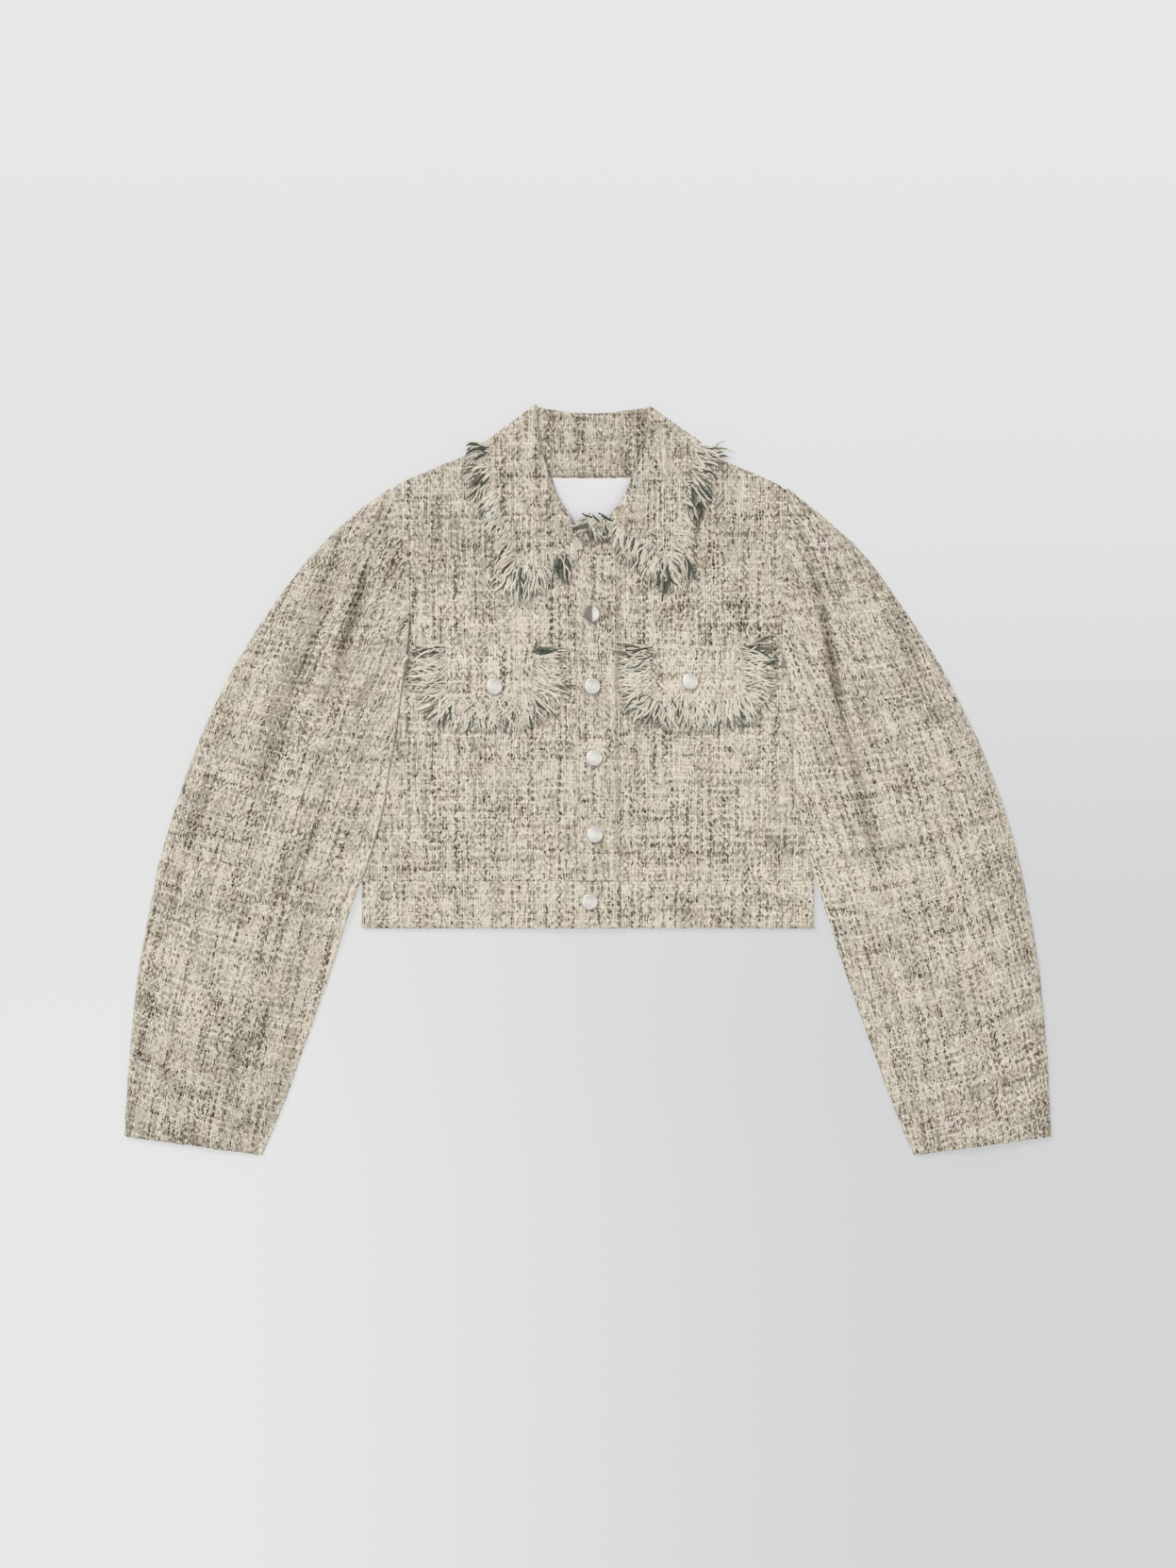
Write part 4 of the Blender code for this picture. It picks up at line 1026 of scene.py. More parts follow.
def make_top_sleeve(side):
    positions = np.linspace(0.0, LAST_SECTION, 215)
    outer, inner, height = sleeve_frame(side, positions)
    width = np.linalg.norm(inner - outer, axis=1)[:, None]
    distances, levels, shares = sleeve_levels(positions, width, height[:, None])
    x, y = across_sleeve(side, positions, distances / width)
    smooth = joined(side * x, y, sleeve_rest(x, y) + levels)
    from_inner = width - distances
    from_seam = np.linalg.norm(smooth - smooth[0:1], axis=-1)

    # tone starts as painted shade down in the creases
    relief, tone = crease_relief(CREASES[side], x, y)
    tones = SLEEVE_TONES[side]
    tone += tones.cuff * ramp(y, -0.24, -0.35)
    tone += tones.head * ramp(y, 0.12, 0.24)
    # painted shade where the cloth rounds away towards the outer edge, and painted light on the curl
    # itself to take the shade off there
    tone += 0.09 * np.exp(-distances / 0.014) - 0.14 * np.exp(-distances / 0.003)
    # painted light at the inner edge, on the inner side beside the body and at the seam, to take off shade
    # and shadow there
    tone -= tones.inner * np.exp(-from_inner / 0.003)
    beside_body = ramp(y, -0.16, -0.10) * (1.0 - ramp(y, 0.11, 0.17))
    tone -= 0.09 * (1.0 - ramp(from_inner, 0.020, 0.045)) * beside_body
    tone -= tones.seam * np.exp(-from_seam / 0.003)
    gathers = np.sin(2.0 * math.pi * (y + 0.4 * x) / GATHER_PITCH + 1.2 * np.sin(y * 90.0))
    relief += SLEEVE_UNEVEN * waves(x, y, 21 + side, 0.050, 0.150)
    relief += GATHER * gathers * np.exp(-from_seam / 0.030)
    relief += SLEEVE_CRUMPLE * waves(x, y, 41 + side, 0.010, 0.024)
    on_top = np.maximum(levels + np.minimum(1.0, 4.0 * shares) * relief, STRIP_REST)
    levels = np.where(shares > 0.0, on_top - SEAM_DIP * np.exp(-from_seam / 0.0050), levels)
    top = joined(side * x, y, sleeve_rest(x, y) + levels)
    across, along = sleeve_grain(x, y)
    # the curled edges keep the weave's size: count the way round them too
    rise = np.cumsum(np.abs(np.diff(smooth[:, :, 2], axis=1, prepend=smooth[:, :1, 2])), axis=1)
    across = across - (rise - rise[:, rise.shape[1] // 2][:, None]) * 0.8

    # columns run from the outer to the inner edge and rings down: turned to face outwards
    top, across, along, tone = (part[::-1, ::-side] for part in (top, across, along, tone))
    # thick yarns show as bumps along the outline
    ring, column = np.indices(top.shape[:2])
    bumps = YARN_BUMP * waves(ring * 0.003, column * 0.003, 45, 0.007, 0.012)
    top = top + bumps[:, :, None] * grid_normals(top)
    thing = shell(f"top_sleeve_{SIDES[side]}", top, top - WALL * grid_normals(top), across, along,
                  0.0004, tone)
    declare(smooth, flat=(0.300, 0.740))


def make_under_sleeve(side):
    positions = np.linspace(0.0, LAST_SECTION, 110)
    outer, inner, _ = sleeve_frame(side, positions)
    width = np.linalg.norm(inner - outer, axis=1)[:, None]
    low = CURL + 2.0 * CURVED_SEAM
    high = width - low - ARMPIT_SLACK * (1.0 - ramp(positions, 0.0, 1.5))[:, None]
    x, y = across_sleeve(side, positions, (low + (high - low) * np.linspace(0.0, 1.0, 36)) / width)
    x, y = x[::-1, ::side], y[::-1, ::side]
    ground = joined(side * x, y, sleeve_rest(x, y))
    thing = shell(f"under_sleeve_{SIDES[side]}", ground, ground + np.array([0.0, 0.0, WALL]),
                  *sleeve_grain(x, y), SEWN_ROUND)
    declare(ground, flat=(0.230, 0.740))


# ---------------------------------------------------------------- collar

def leaf_top(x, y, fraction):
    """Height of a leaf; it swells towards the roll and rounds down over it."""
    from_roll = np.clip(fraction / 0.11, 0.0, 1.0)
    return (on_fronts(x, y) + WALL + ROLL_SWELL * (1.0 - fraction) ** 2
            - ROLL_DROP * (1.0 - np.sin(0.5 * math.pi * from_roll)))


def fall_section(roll, edge, level):
    """Points from roll line to outer edge at the heights level(x, y, fraction)."""
    fraction = np.linspace(0.0, 1.0, 13) ** TOWARDS_ROLL
    x = roll[0] + (edge[0] - roll[0]) * fraction
    y = roll[1] + (edge[1] - roll[1]) * fraction
    return joined(x, y, level(x, y, fraction))


def leaf_ends(side, share):
    """Roll point and edge point of a leaf's section, 0 at centre front and 1 at the shoulder."""
    row = Leaf(*smooth_rows(LEAVES[side], [(len(LEAVES[side]) - 1.0) * share])[0])
    return (NECK_X + side * row.roll_x, row.roll_y), (NECK_X + side * row.edge_x, row.edge_y)


def leaf_sections(side):
    """Sections of a leaf at eighteenths of its length; the fold takes the last two."""
    return [fall_section(*leaf_ends(side, k / 18.0), leaf_top) for k in range(17)]


def fold_sections(side):
    roll, edge = (np.array(point) for point in leaf_ends(side, 1.0))
    inward = np.array([-side * (roll[1] - edge[1]), -abs(roll[0] - edge[0])]) / math.dist(roll, edge)
    sections = []
    for angle in (90.0, 50.0, 10.0, -30.0, -65.0, -90.0):
        inset = FALL_FOLD * (1.0 - math.cos(math.radians(angle))) * inward
        share = 0.5 + 0.5 * math.sin(math.radians(angle))
        sections.append(fall_section(roll + inset, edge + inset,
                                     lambda x, y, f, s=share: leaf_top(x, y, f) * s))
    return sections


def make_fall():
    """Collar fall: right leaf, fold, back, fold and left leaf, in one cloth."""
    back = [fall_section((NECK_X + row.roll_x, row.roll_y), (NECK_X + row.edge_x, row.edge_y),
                         lambda x, y, f: 0.0 * x) for row in FALL_BACK]
    sections = leaf_sections(-1) + fold_sections(-1) + back
    sections += fold_sections(1)[::-1] + leaf_sections(1)[::-1]
    rows, columns = 230, 36
    grid = refine(np.array(sections), rows, columns)
    grid[:, :, 2] = np.maximum(grid[:, :, 2], 0.0)
    _, walked = measured(grid[:, columns // 2 - 2])
    # from here on the columns run from the outer edge to the roll
    x, y, z = np.moveaxis(grid[:, ::-1], 2, 0)
    fraction = np.linspace(1.0, 0.0, columns) ** TOWARDS_ROLL
    upper = z > LEAF_Z
    top = joined(x, y, z + np.where(upper, FALL_UNEVEN * waves(x, y, 31, 0.030, 0.080), 0.0))
    # a leaf's outer side faces up
    normals = grid_normals(top)
    normals *= np.sign(normals[rows // 20, 10, 2])
    wall = WALL + ROLL_SWELL * (1.0 - fraction) ** 2 * upper * 0.9
    bottom = top - wall[:, :, None] * normals
    bottom[:, :, 2] = np.maximum(bottom[:, :, 2], 0.0)
    thing = shell("collar_fall", top, bottom, x, np.where(upper, y, y - 1.0), SEWN_ROUND, 0.03)
    declare(grid, flat=(round(float(walked[-1]), 3), 0.110))


def make_stand():
    """Inside of the back collar, rolling over at its top to meet the fall."""
    shares = np.linspace(0.0, 1.0, 30)[:, None]
    parts = np.linspace(-1.0, 1.0, 54)
    right_end, left_end = LEAVES[-1][-1], LEAVES[1][-1]
    # its upper edge follows the roll line and ends just below the leaves' own ends
    reach = [(-right_end.roll_x, right_end.roll_y - 0.0014)]
    reach += [(row.roll_x, row.roll_y) for row in FALL_BACK]
    reach += [(left_end.roll_x, left_end.roll_y - 0.0004)]
    top_y = np.interp(parts * BACK_NECK[-1][1], *zip(*reach)) - STAND_ROLL
    y = NECK_SEAM_Y + SEAM + (top_y - NECK_SEAM_Y - SEAM) * shares
    x = NECK_X + parts * (np.interp(y, *zip(*BACK_NECK)) + 0.004)
    beside = STAND_BESIDE * np.exp(-(1.0 - np.abs(parts)) * 0.055 / 0.008)
    low = LIFT + STAND_RISE * ramp(y, *STAND_RISE_Y) + beside * ramp(y, NECK_SEAM_Y, 0.325)
    low = low + STAND_UNEVEN * waves(x, y, 33, 0.020, 0.060) * shares
    turn = np.linspace(0.0, 1.0, 9)[1:, None] * math.pi / 2.0
    x = np.concatenate([x, np.repeat(x[-1:], len(turn), axis=0)])
    y = np.concatenate([y, y[-1] + STAND_ROLL * np.sin(turn)])
    low = np.concatenate([low, low[-1] - STAND_DROP * (1.0 - np.cos(turn))])
    top = joined(x, y, low + WALL)
    # darker all over, and more beside the left leaf, where painted shade stands for the shadow of its
    # rolled edge
    painted_shade_by_left_leaf = np.exp(-(1.0 - parts) * 0.055 / 0.006)
    thing = shell("collar_stand", top, top - WALL * grid_normals(top), x, y + 0.7, SEWN_ROUND,
                  0.08 + 0.16 * painted_shade_by_left_leaf)
    declare(top, flat=(0.116, 0.075))


def make_label():
    def under(x, y):
        return lift(y) + WALL + SEAM + LABEL_UNEVEN * (1.0 + waves(x, y, 51, 0.020, 0.060))

    top_y = NECK_SEAM_Y - 0.002
    x, y = np.meshgrid(spaced(NECK_X - LABEL_WIDTH / 2.0, NECK_X + LABEL_WIDTH / 2.0, STEP),
                       spaced(top_y - LABEL_HEIGHT, top_y, STEP))
    thing = lay("neck_label", x, y, under, LABEL_WALL, 0.0003, material=LABEL, slot_name="label")


# ---------------------------------------------------------------- pocket flaps

def make_flap(side):
    def under(x, y):
        bow = FLAP_BOW * ramp(FLAP_TOP_Y - y, 0.010, 0.050)
        return on_fronts(x, y) - LAY_GAP * (1.0 - ramp(FLAP_TOP_Y - y, 0.0, 0.004)) + bow

    def wall(x, y):
        return FLAP_SEAM_WALL + (FLAP_WALL - FLAP_SEAM_WALL) * ramp(FLAP_TOP_Y - y, 0.0, 0.012)

    corner = FLAP_DEPTH - FLAP_CORNER * (1.0 - np.cos(np.linspace(0.06, 0.5, 12) * math.pi))
    drops = np.concatenate([corner, spaced(FLAP_DEPTH - FLAP_CORNER, 0.0, -STEP)[1:]])[:, None]
    into_corner = np.maximum(drops - (FLAP_DEPTH - FLAP_CORNER), 0.0)
    rounded = FLAP_CORNER - np.sqrt(np.maximum(FLAP_CORNER ** 2 - into_corner ** 2, 0.0))
    columns = len(spaced(0.0, FLAP_WIDTH, STEP))
    x = FLAP_MIDDLE_X[side] + (FLAP_WIDTH / 2.0 - rounded) * np.linspace(-1.0, 1.0, columns)
    y = np.repeat(FLAP_TOP_Y - drops, columns, axis=1)
    thing = lay(f"pocket_flap_{SIDES[side]}", x, y, under, wall, SEWN_ROUND, (0.0013, 0.0009),
                tone=-0.04)
    declare(joined(x, y, 0.0), flat=(FLAP_WIDTH, FLAP_DEPTH))


# ---------------------------------------------------------------- yarns and threads

STRAND_STEPS = 9
STRAND_SIDES = 6
STRAND_FLATNESS = 0.42
STRAND_RISE = 0.0006       # from the floor to the middle of a yarn
STRAND_ARCH = 0.0010       # and how much higher it is halfway along
END_PITCH = 0.0021         # from one thread end on the outline to the next
END_GAPS = 0.30            # and the share of them that is missing


class Tubes:
    """Many small tubes that become one mesh."""

    def __init__(self):
        self.points = []
        self.faces = []
        self.marks = []
        self.count = 0

    def add(self, x, y, z, way, half, sides, flatness=1.0, marks=None, closed=False):
        """A tube round a course of points; way is where it heads and half its half-width there."""
        rings = len(x)
        turn = 2.0 * math.pi * np.arange(sides) / sides
        half = np.broadcast_to(half, (rings,))[:, None]
        way = np.broadcast_to(way, (rings, 2))
        self.points.append(joined(x[:, None] - way[:, 1:] * half * np.cos(turn),
                                  y[:, None] + way[:, :1] * half * np.cos(turn),
                                  z[:, None] + flatness * half * np.sin(turn)).reshape(-1, 3))
        index = self.count + np.arange(rings * sides).reshape(rings, sides)
        for ring in range(rings if closed else rings - 1):
            lower, upper = index[ring], index[(ring + 1) % rings]
            self.faces += np.stack([lower, np.roll(lower, -1), np.roll(upper, -1), upper], axis=1).tolist()
        if not closed:
            self.faces += [index[0, ::-1].tolist(), index[-1].tolist()]
        if marks is not None:
            self.marks.append(marks.reshape(-1, 3))
        self.count += rings * sides

    def finish(self, name, material, slot_name, node=None):
        marks = {"strand": np.concatenate(self.marks)} if self.marks else {}
        make_object(name, np.concatenate(self.points), self.faces, material, slot_name, node, **marks)


def walk(path, count):
    """Evenly spaced places on a line, each with the direction to its right and its progress."""
    path, starts = measured(path)
    places = (np.arange(count) + 0.5) / count * starts[-1]
    index = np.minimum(np.searchsorted(starts, places, side="right") - 1, len(path) - 2)
    step = path[index + 1] - path[index]
    middle = path[index] + step * ((places - starts[index]) / np.diff(starts)[index])[:, None]
    # the direction is the mean over nine places
    right = np.pad(unit(step)[:, ::-1] * (1.0, -1.0), ((4, 4), (0, 0)), mode="edge")
    kernel = np.ones(9) / 9.0
    smooth = np.stack([np.convolve(right[:, k], kernel, mode="valid") for k in range(2)], axis=1)
    return middle, unit(smooth), places / starts[-1]


def turned(direction, angle):
    """A plan direction turned anticlockwise."""
    return np.array([direction[0] * math.cos(angle) - direction[1] * math.sin(angle),
                     direction[0] * math.sin(angle) + direction[1] * math.cos(angle)])


def add_strand(store, start, heading, bend, length, width, tint, floor, root, lift_by, draw):
    """One yarn: flat, widest near its middle, narrower at both ends, waving a little."""
    share = np.linspace(0.0, 1.0, STRAND_STEPS)
    wave = draw.uniform(0.15, 0.50)
    angle = math.atan2(heading[1], heading[0]) + bend * share
    angle = angle + wave * np.sin(share * draw.uniform(3.0, 8.0) + draw.uniform(0.0, 6.0))
    way = np.stack([np.cos(angle), np.sin(angle)], axis=1)
    steps_on = np.cumsum(way[:-1] * length / (STRAND_STEPS - 1), axis=0)
    x, y = (np.asarray(start) + np.concatenate([[(0.0, 0.0)], steps_on])).T
    blend = ramp(share, 0.0, 0.45)
    z = root * (1.0 - blend) + (floor(x, y) + STRAND_RISE + lift_by) * blend
    z = z + STRAND_ARCH * np.sin(math.pi * share) ** 2
    half = 0.5 * width * (0.55 + 0.45 * np.sin(math.pi * np.clip(share * 1.25, 0.0, 0.5)))
    half = half * (1.0 - 0.75 * ramp(share, 0.72, 1.0))
    store.add(x, y, z, way, half, STRAND_SIDES, STRAND_FLATNESS,
              joined(tint, share[:, None], np.arange(STRAND_SIDES) / STRAND_SIDES))


def draw_tint(draw, dark_share):
    """A yarn's tint: pale, or dark for the given share of them."""
    if draw.random() < dark_share:
        return draw.uniform(0.81, 1.0)
    return draw.uniform(0.0, 0.79)


# One layer of a fringe: how many yarns, how far in they start, how long they are, how they droop
# and how dark they are by their progress along the edge, their floor and root and the lift off it.
Layer = namedtuple("Layer", "count inset length droop dark floor root lift")


def fringe_layer(path, layer, draw, store):
    lean = 0.0
    down = np.array([0.0, -1.0])
    for place, out, part in zip(*walk(path, layer.count)):
        if draw.random() < 0.30:
            lean = draw.uniform(-0.42, 0.42)
        heading = turned(out, lean + draw.uniform(-0.34, 0.34))
        droop = layer.droop(part)
        start_way = unit(heading * (1.0 - 0.5 * droop) + down * 0.5 * droop)
        end_way = unit(heading * (1.0 - droop) + down * droop)
        bend = math.atan2(start_way[0] * end_way[1] - start_way[1] * end_way[0],
                          float(start_way @ end_way))
        tint = draw_tint(draw, layer.dark(part))
        width = draw.uniform(0.0011, 0.0019) if tint > 0.8 else draw.uniform(0.0014, 0.0027)
        start = place - out * (layer.inset + draw.uniform(-0.0015, 0.0015))
        length = (layer.length(part) + layer.inset) * draw.uniform(0.72, 1.08)
        add_strand(store, start, start_way, bend + draw.uniform(-0.30, 0.30), length, width, tint,
                   layer.floor, layer.root(*start), layer.lift + draw.uniform(0.0, 0.0007), draw)


def add_tuft(store, tuft, draw):
    """A lock of yarns that fan out from one place."""
    for _ in range(tuft.count):
        start = np.array([tuft.x, tuft.y]) + draw.uniform(-1.0, 1.0, 2) * tuft.spread
        angle = math.radians(draw.uniform(*tuft.headings))
        tint = draw_tint(draw, tuft.dark)
        height = draw.uniform(0.0022, 0.0046)
        add_strand(store, start, (math.cos(angle), math.sin(angle)), draw.uniform(-0.5, 0.5),
                   tuft.length * draw.uniform(0.65, 1.05), draw.uniform(0.0014, 0.0026), tint,
                   on_fronts, on_fronts(*start) + height, height - STRAND_RISE, draw)


def make_fringe(place, path, layers, seed, tufts=()):
    """Yarns along an edge; path runs with the cloth on its left."""
    draw = np.random.default_rng(seed)
    store = Tubes()
    for layer in layers:
        fringe_layer(path, layer, draw, store)
    for tuft in tufts:
        add_tuft(store, tuft, draw)
    store.finish(f"yarn_{place}", YARN, "fringe", f"fringe_{place}")


def make_leaf_fringe(side):
    sections = leaf_sections(side) + fold_sections(side)[:2]
    path = [section[-1][:2] for section in sections[::-1]] + [point[:2] for point in sections[0][-2::-1]]

    def from_shoulder(progress):
        return progress if side < 0 else 1.0 - progress

    def length(progress):
        part = from_shoulder(progress)
        return 0.022 + 0.011 * ramp(part, 0.40, 0.62) - 0.011 * ramp(part, 0.78, 1.0)

    def droop(progress):
        return 0.30 + 0.42 * ramp(from_shoulder(progress), 0.04, 0.25)

    def dark(progress):
        return 0.36 - 0.24 * ramp(from_shoulder(progress), 0.30, 0.48)

    def on_leaf(x, y):
        return on_fronts(x, y) + WALL + 0.0004

    # the lowest layer has the most dark yarns: partly the collar's own dark yarns, partly painted shade
    # under the layers above
    layers = [
        Layer(120, 0.001, length, droop, dark, on_fronts, on_fronts, 0.0),
        Layer(100, 0.003, lambda p: 0.95 * length(p), droop, lambda p: 0.5 * dark(p), on_fronts,
              on_leaf, 0.0005),
        Layer(55, 0.006, lambda p: 0.80 * length(p), droop, lambda p: 0.3 * dark(p), on_fronts,
              on_leaf, 0.0010),
    ]
    make_fringe(f"collar_{SIDES[side]}", path if side < 0 else path[::-1], layers, 60 + side, TUFTS[side])


def make_back_fringe():
    path = [(NECK_X + row.edge_x, row.edge_y) for row in FALL_BACK]
    layer = Layer(90, 0.001, lambda p: 0.020, lambda p: 0.25, lambda p: 0.3, on_floor,
                  lambda x, y: 0.0009, 0.0)
    make_fringe("collar_back", path, [layer], 65)


def flap_path(side):
    """Round a flap's free edges, from one end of its seam to the other."""
    middle, half = FLAP_MIDDLE_X[side], FLAP_WIDTH / 2.0
    path = [(middle - half, FLAP_TOP_Y)]
    for corner, first_angle in ((-1, 180.0), (1, 270.0)):
        for turn in np.radians(np.linspace(first_angle, first_angle + 90.0, 8)):
            path.append((middle + corner * (half - FLAP_CORNER) + FLAP_CORNER * math.cos(turn),
                         FLAP_TOP_Y - FLAP_DEPTH + FLAP_CORNER * (1.0 + math.sin(turn))))
    return path + [(middle + half, FLAP_TOP_Y)]


def make_flap_fringe(side):
    def droop(progress):
        return 0.16

    def dark(progress):
        from_middle = np.abs(progress - 0.5)
        corners = ramp(from_middle, 0.10, 0.20) * ramp(from_middle, 0.32, 0.24)
        return 0.05 + 0.11 * corners + 0.36 * ramp(from_middle, 0.43, 0.47)

    length = 0.033
    # the lowest layer has more dark yarns: partly the fringe's own dark yarns, partly painted shade under
    # the layers above
    layers = [
        Layer(140, 0.001, lambda p: length, droop, lambda p: 0.14 + dark(p), on_fronts, on_fronts, 0.0),
        Layer(115, 0.003, lambda p: 0.95 * length, droop, dark, on_fronts, on_flap, 0.0004),
        Layer(70, 0.007, lambda p: 0.72 * length, droop, dark, on_fronts, on_flap, 0.0010),
    ]
    make_fringe(f"flap_{SIDES[side]}", flap_path(side), layers, 70 + side)


def make_fuzz():
    """Short ends of yarn that stand out along the outline of the cloth."""
    draw = np.random.default_rng(80)
    store = Tubes()
    rows = np.linspace(0.0, LAST_SECTION, 60)
    # each course with a rough direction outwards and the height of its yarns
    courses = [([(-HALF_WIDTH, HEM_Y), (HALF_WIDTH, HEM_Y)], (0.0, -1.0), 0.0045)]
    for side in SIDES:
        outer, inner, _ = sleeve_frame(side, rows)
        flip = np.array([side, 1.0])
        free = inner[:, 1] < HEM_Y - 0.012
        courses += [
            (outer * flip, (side, 0.3), 0.0042),
            (inner[free] * flip, (-side, -0.3), 0.0030),
            (np.array([outer[-1], inner[-1]]) * flip, (0.0, -1.0), 0.0070),
            ([(side * x, y) for y, x in SHOULDER[:3]], (0.3 * side, 1.0), 0.0060),
            (leaf_ends(side, 1.0), (side, 1.0), 0.0080),
        ]
    _, inner, _ = sleeve_frame(-1, rows)
    over_body = (inner[:, 1] > HEM_Y + 0.004) & (inner[:, 1] < UNDERARM_Y + 0.030)
    courses.append((inner[over_body] * (-1.0, 1.0), (1.0, 0.2), 0.0080))
    for course, way, level in courses:
        course, starts = measured(course)
        for place, out, _ in zip(*walk(course, int(starts[-1] / END_PITCH))):
            if draw.random() < END_GAPS:
                continue
            out = out if out @ way > 0.0 else -out
            add_strand(store, place - 0.0020 * out, turned(out, draw.uniform(-1.0, 1.0)),
                       draw.uniform(-0.8, 0.8), draw.uniform(0.0018, 0.0032),
                       draw.uniform(0.0006, 0.0011), draw_tint(draw, 0.12),
                       lambda x, y, z=level: on_floor(x, y) + z - STRAND_RISE, level, 0.0, draw)
    store.finish("yarn_ends", YARN, "tweed")


# ---------------------------------------------------------------- buttons and sewing

# distance from the middle and height, as shares of the button's radius and height
BUTTON_DISH = [(part, 0.84 + 0.22 * part ** 2) for part in (0.0, 0.16, 0.32, 0.48, 0.62, 0.74, 0.80)]
BUTTON_PROFILE = BUTTON_DISH + [
    (0.85, 1.0), (0.90, 0.98), (0.955, 0.88), (0.99, 0.70), (1.0, 0.50), (0.98, 0.28), (0.92, 0.10),
    (0.80, 0.0), (0.0, 0.0)]


def make_button(looks, node, x, y, z, tilt, painted_dark_reflection=0.0):
    """A turned disc with a raised rim and a shallow dish; its last argument greys its left half as a
    painted dark reflection.
    """
    turns = 56
    angle = 2.0 * math.pi * np.arange(turns) / turns
    radius, level = np.array(BUTTON_PROFILE).T[:, :, None]
    rounds = joined(radius * np.cos(angle), radius * np.sin(angle), level)[1:-1].reshape(-1, 3)
    points = np.concatenate([[(0.0, 0.0, BUTTON_PROFILE[0][1])], rounds, [(0.0, 0.0, 0.0)]])
    index = 1 + np.arange(len(rounds)).reshape(-1, turns)
    faces = [(0, a, b) for a, b in zip(index[0], np.roll(index[0], -1))]
    for upper, lower in zip(index, index[1:]):
        faces += ring_quads(upper, lower).tolist()
    faces += [(a, len(points) - 1, b) for a, b in zip(index[-1], np.roll(index[-1], -1))]
    turn = Matrix.Rotation(tilt[0], 3, "X") @ Matrix.Rotation(tilt[1], 3, "Y")
    sized = points * (BUTTON_RADIUS, BUTTON_RADIUS, BUTTON_HEIGHT)
    points[:, 2] = painted_dark_reflection
    make_object(f"button_looks_{looks}", sized @ np.array(turn).T + (x, y, z), faces, SILVER, "button",
                f"button_{node}", grain=points)


def make_buttons():
    tilts = [(0.02, 0.42), (0.05, -0.03), (-0.04, 0.04), (0.06, 0.02), (0.05, -0.06)]
    for number, ((x, y), tilt) in enumerate(zip(FRONT_BUTTONS, tilts), start=1):
        level = float(on_fronts(np.array(x), np.array(y)))
        if y < WAIST_Y:
            level = float(band_right_under(np.array(x), np.array(y))) + BAND_WALL + LAY_GAP
        level += BUTTON_RADIUS * max(abs(math.sin(part)) for part in tilt) - BUTTON_SINK
        # the first button carries a painted dark reflection over its left half
        make_button(number, f"front_{number}", x, y, level, tilt, 1.0 if number == 1 else 0.0)
    for side, (x, y) in FLAP_BUTTONS.items():
        level = float(on_fronts(np.array(x), np.array(y))) + LIFT
        make_button(f"flap_{SIDES[side]}", f"flap_{SIDES[side]}", x, y, level - FLAP_BUTTON_SINK,
                    (0.03, 0.02 * side))


def make_stitches(name, path, height, pitch=0.0034, share=0.72):
    """A line of running stitches: small bowed threads on a surface."""
    path, starts = measured(path)
    count = int(starts[-1] / pitch)
    store = Tubes()
    for centre in (np.arange(count) + 0.5) / count * starts[-1]:
        along = np.linspace(centre - 0.5 * share * pitch, centre + 0.5 * share * pitch, 4)
        x, y = (np.interp(along, starts, path[:, k]) for k in range(2))
        z = height(x, y) + np.array([-0.0002, 0.0002, 0.0002, -0.0002])
        store.add(x, y, z, unit(np.array([x[-1] - x[0], y[-1] - y[0]])),
                  (0.00018, 0.00032, 0.00032, 0.00018), 5)
    store.finish(f"stitches_{name}", THREAD, "tweed")


def make_buttonhole(name, x, y, length, upright, height):
    """A racetrack of close stitches round a slit."""
    radius, count = 0.0012, 40
    angle = np.linspace(0.0, 2.0 * math.pi, count, endpoint=False)
    ahead = (0.5 * length - radius) * np.where(np.cos(angle) >= 0.0, 1.0, -1.0) + radius * np.cos(angle)
    beside = radius * np.sin(angle)
    x, y = (x - beside, y + ahead) if upright else (x + ahead, y + beside)
    course = np.stack([x, y], axis=1)
    way = unit(np.roll(course, -1, axis=0) - np.roll(course, 1, axis=0))
    store = Tubes()
    store.add(x, y, height(x, y), way, 0.00075 + 0.00012 * (np.arange(count) % 2), 6, 0.6, closed=True)
    store.finish(f"buttonhole_{name}", THREAD, "tweed")


def make_sewing():
    inset = 0.0035
    for name, x in (("low", PLACKET_LOW_X + inset), ("high", PLACKET_HIGH_X - inset)):
        make_stitches(f"placket_{name}", [(x, WAIST_Y + 0.002), (x, PLACKET_TOP_Y - 0.004)], on_placket)
    for name, y in (("top", WAIST_Y - inset), ("hem", HEM_Y + inset)):
        make_stitches(f"band_right_{name}", [(-HALF_WIDTH + 0.003, y), (PLACKET_HIGH_X - 0.002, y)],
                      on_right_band)
        make_stitches(f"band_left_{name}", [(PLACKET_HIGH_X + 0.004, y), (HALF_WIDTH - 0.003, y)],
                      on_left_band)
    for number, (x, y) in enumerate(FRONT_BUTTONS, start=1):
        make_buttonhole(number, x + 0.001, y, 0.0205, False, on_right_band if y < WAIST_Y else on_placket)
    for side, (x, y) in FLAP_BUTTONS.items():
        half, seam_y = FLAP_WIDTH / 2.0 - 0.003, FLAP_TOP_Y - 0.004
        make_stitches(f"flap_{SIDES[side]}", [(FLAP_MIDDLE_X[side] - half, seam_y),
                                              (FLAP_MIDDLE_X[side] + half, seam_y)], on_flap)
        make_buttonhole(f"flap_{SIDES[side]}", x, y - 0.002, 0.0215, True, on_flap)


# ---------------------------------------------------------------- stage

PIXEL = 0.00095                 # metres for one pixel of the 1247 x 1662 picture
PICTURE_HEIGHT = 1662
ORIGIN_ROW = 826.5              # the picture's row at y = 0
MIDDLE_Y = (ORIGIN_ROW - PICTURE_HEIGHT / 2.0) * PIXEL
CAMERA_HEIGHT = 5.0
PAPER_HALF = 6.0
PAPER_GAP = 0.0003              # how far the paper lies below the jacket
PAPER_SHARE = 0.22              # share of the floor's brightness that comes from the lamps
PAPER_LIT = 0.946               # and what that share is scaled by, to suit the lamps


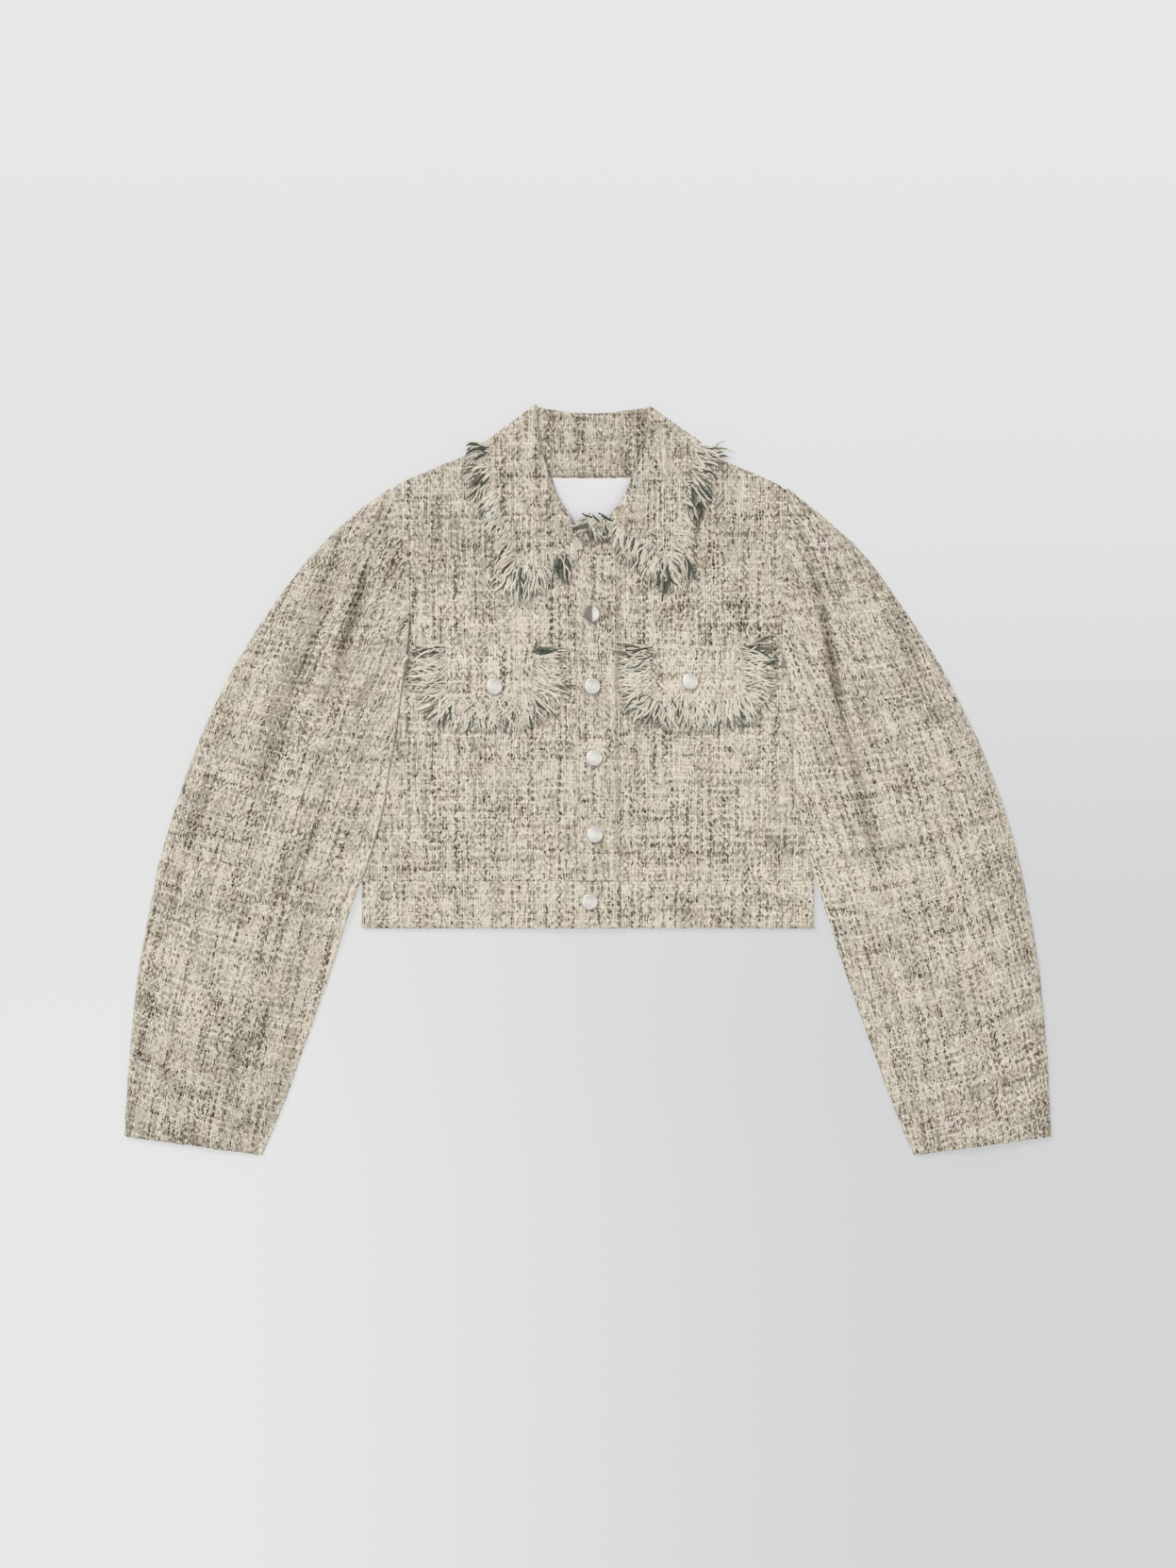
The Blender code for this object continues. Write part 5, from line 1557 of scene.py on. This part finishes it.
def floor_material():
    """Pale paper backdrop that glows with painted light of its own and turns a little greyer towards the
    lower right.
    """
    n = new_material("floor_looks")
    x, y, _ = n.split(n.object_place())
    band = n.step(y, 0.78, 0.40) * n.step(y, -0.45, 0.05)
    shade = n.step(x, -0.48, 0.44) * n.step(y, 0.42, -0.33) + band * 0.17
    colour = n.mix(shade, (0.788, 0.788, 0.788), (0.645, 0.647, 0.651))
    # the paper glows: most of its brightness is painted light of its own, so that what lies on it leaves
    # hardly a shadow
    n.feed(n.shader.inputs["Emission Color"], colour)
    n.feed(n.shader.inputs["Emission Strength"], 1.0 - PAPER_SHARE)
    return n.finish(n.mix(1.0, colour, (PAPER_SHARE * PAPER_LIT,) * 3, "MULTIPLY"), 0.9)


def place_object(name, data, location=(0.0, 0.0, 0.0)):
    thing = bpy.data.objects.new(name, data)
    thing.location = location
    bpy.context.scene.collection.objects.link(thing)
    return thing


def make_stage():
    mesh = bpy.data.meshes.new("floor")
    corners = ((-1.0, -1.0), (1.0, -1.0), (1.0, 1.0), (-1.0, 1.0))
    mesh.from_pydata([(x * PAPER_HALF, y * PAPER_HALF, -PAPER_GAP) for x, y in corners], [],
                     [(0, 1, 2, 3)])
    mesh.materials.append(floor_material())
    place_object("floor", mesh)

    scene = bpy.context.scene
    scene.world = bpy.data.worlds.new("studio")
    n = Nodes(scene.world, "Background")
    upward = n.split(n.object_place("Generated"))[2]
    n.feed(n.shader.inputs["Strength"], n.step(upward, 0.0, 0.9, 0.36, 0.50, "LINEAR"))
    n.feed(n.shader.inputs["Color"], (1.0, 0.995, 0.985))

    for name, place, strength, soft in (("key", (-0.65, 0.75, 1.35), 1.85, 22.0),
                                        ("fill", (0.9, -0.2, 1.3), 0.45, 60.0)):
        lamp = bpy.data.lights.new(name, "SUN")
        lamp.energy = strength
        lamp.angle = math.radians(soft)
        holder = place_object(name, lamp, place)
        holder.rotation_euler = (-Vector(place)).to_track_quat("-Z", "Y").to_euler()

    lens = bpy.data.cameras.new("camera")
    lens.sensor_fit = "VERTICAL"
    lens.sensor_height = 36.0
    lens.lens = 36.0 * CAMERA_HEIGHT / (PICTURE_HEIGHT * PIXEL)
    lens.clip_end = 50.0
    scene.camera = place_object("camera", lens, (0.0, MIDDLE_Y, CAMERA_HEIGHT))
    scene.view_settings.view_transform = "Standard"


# ---------------------------------------------------------------- the jacket

make_body()
for each_side in SIDES:
    make_top_sleeve(each_side)
    make_under_sleeve(each_side)
make_stand()
make_fall()
make_label()
for each_side in SIDES:
    make_flap(each_side)
    make_leaf_fringe(each_side)
    make_flap_fringe(each_side)
make_back_fringe()
make_fuzz()
make_buttons()
make_sewing()
make_stage()
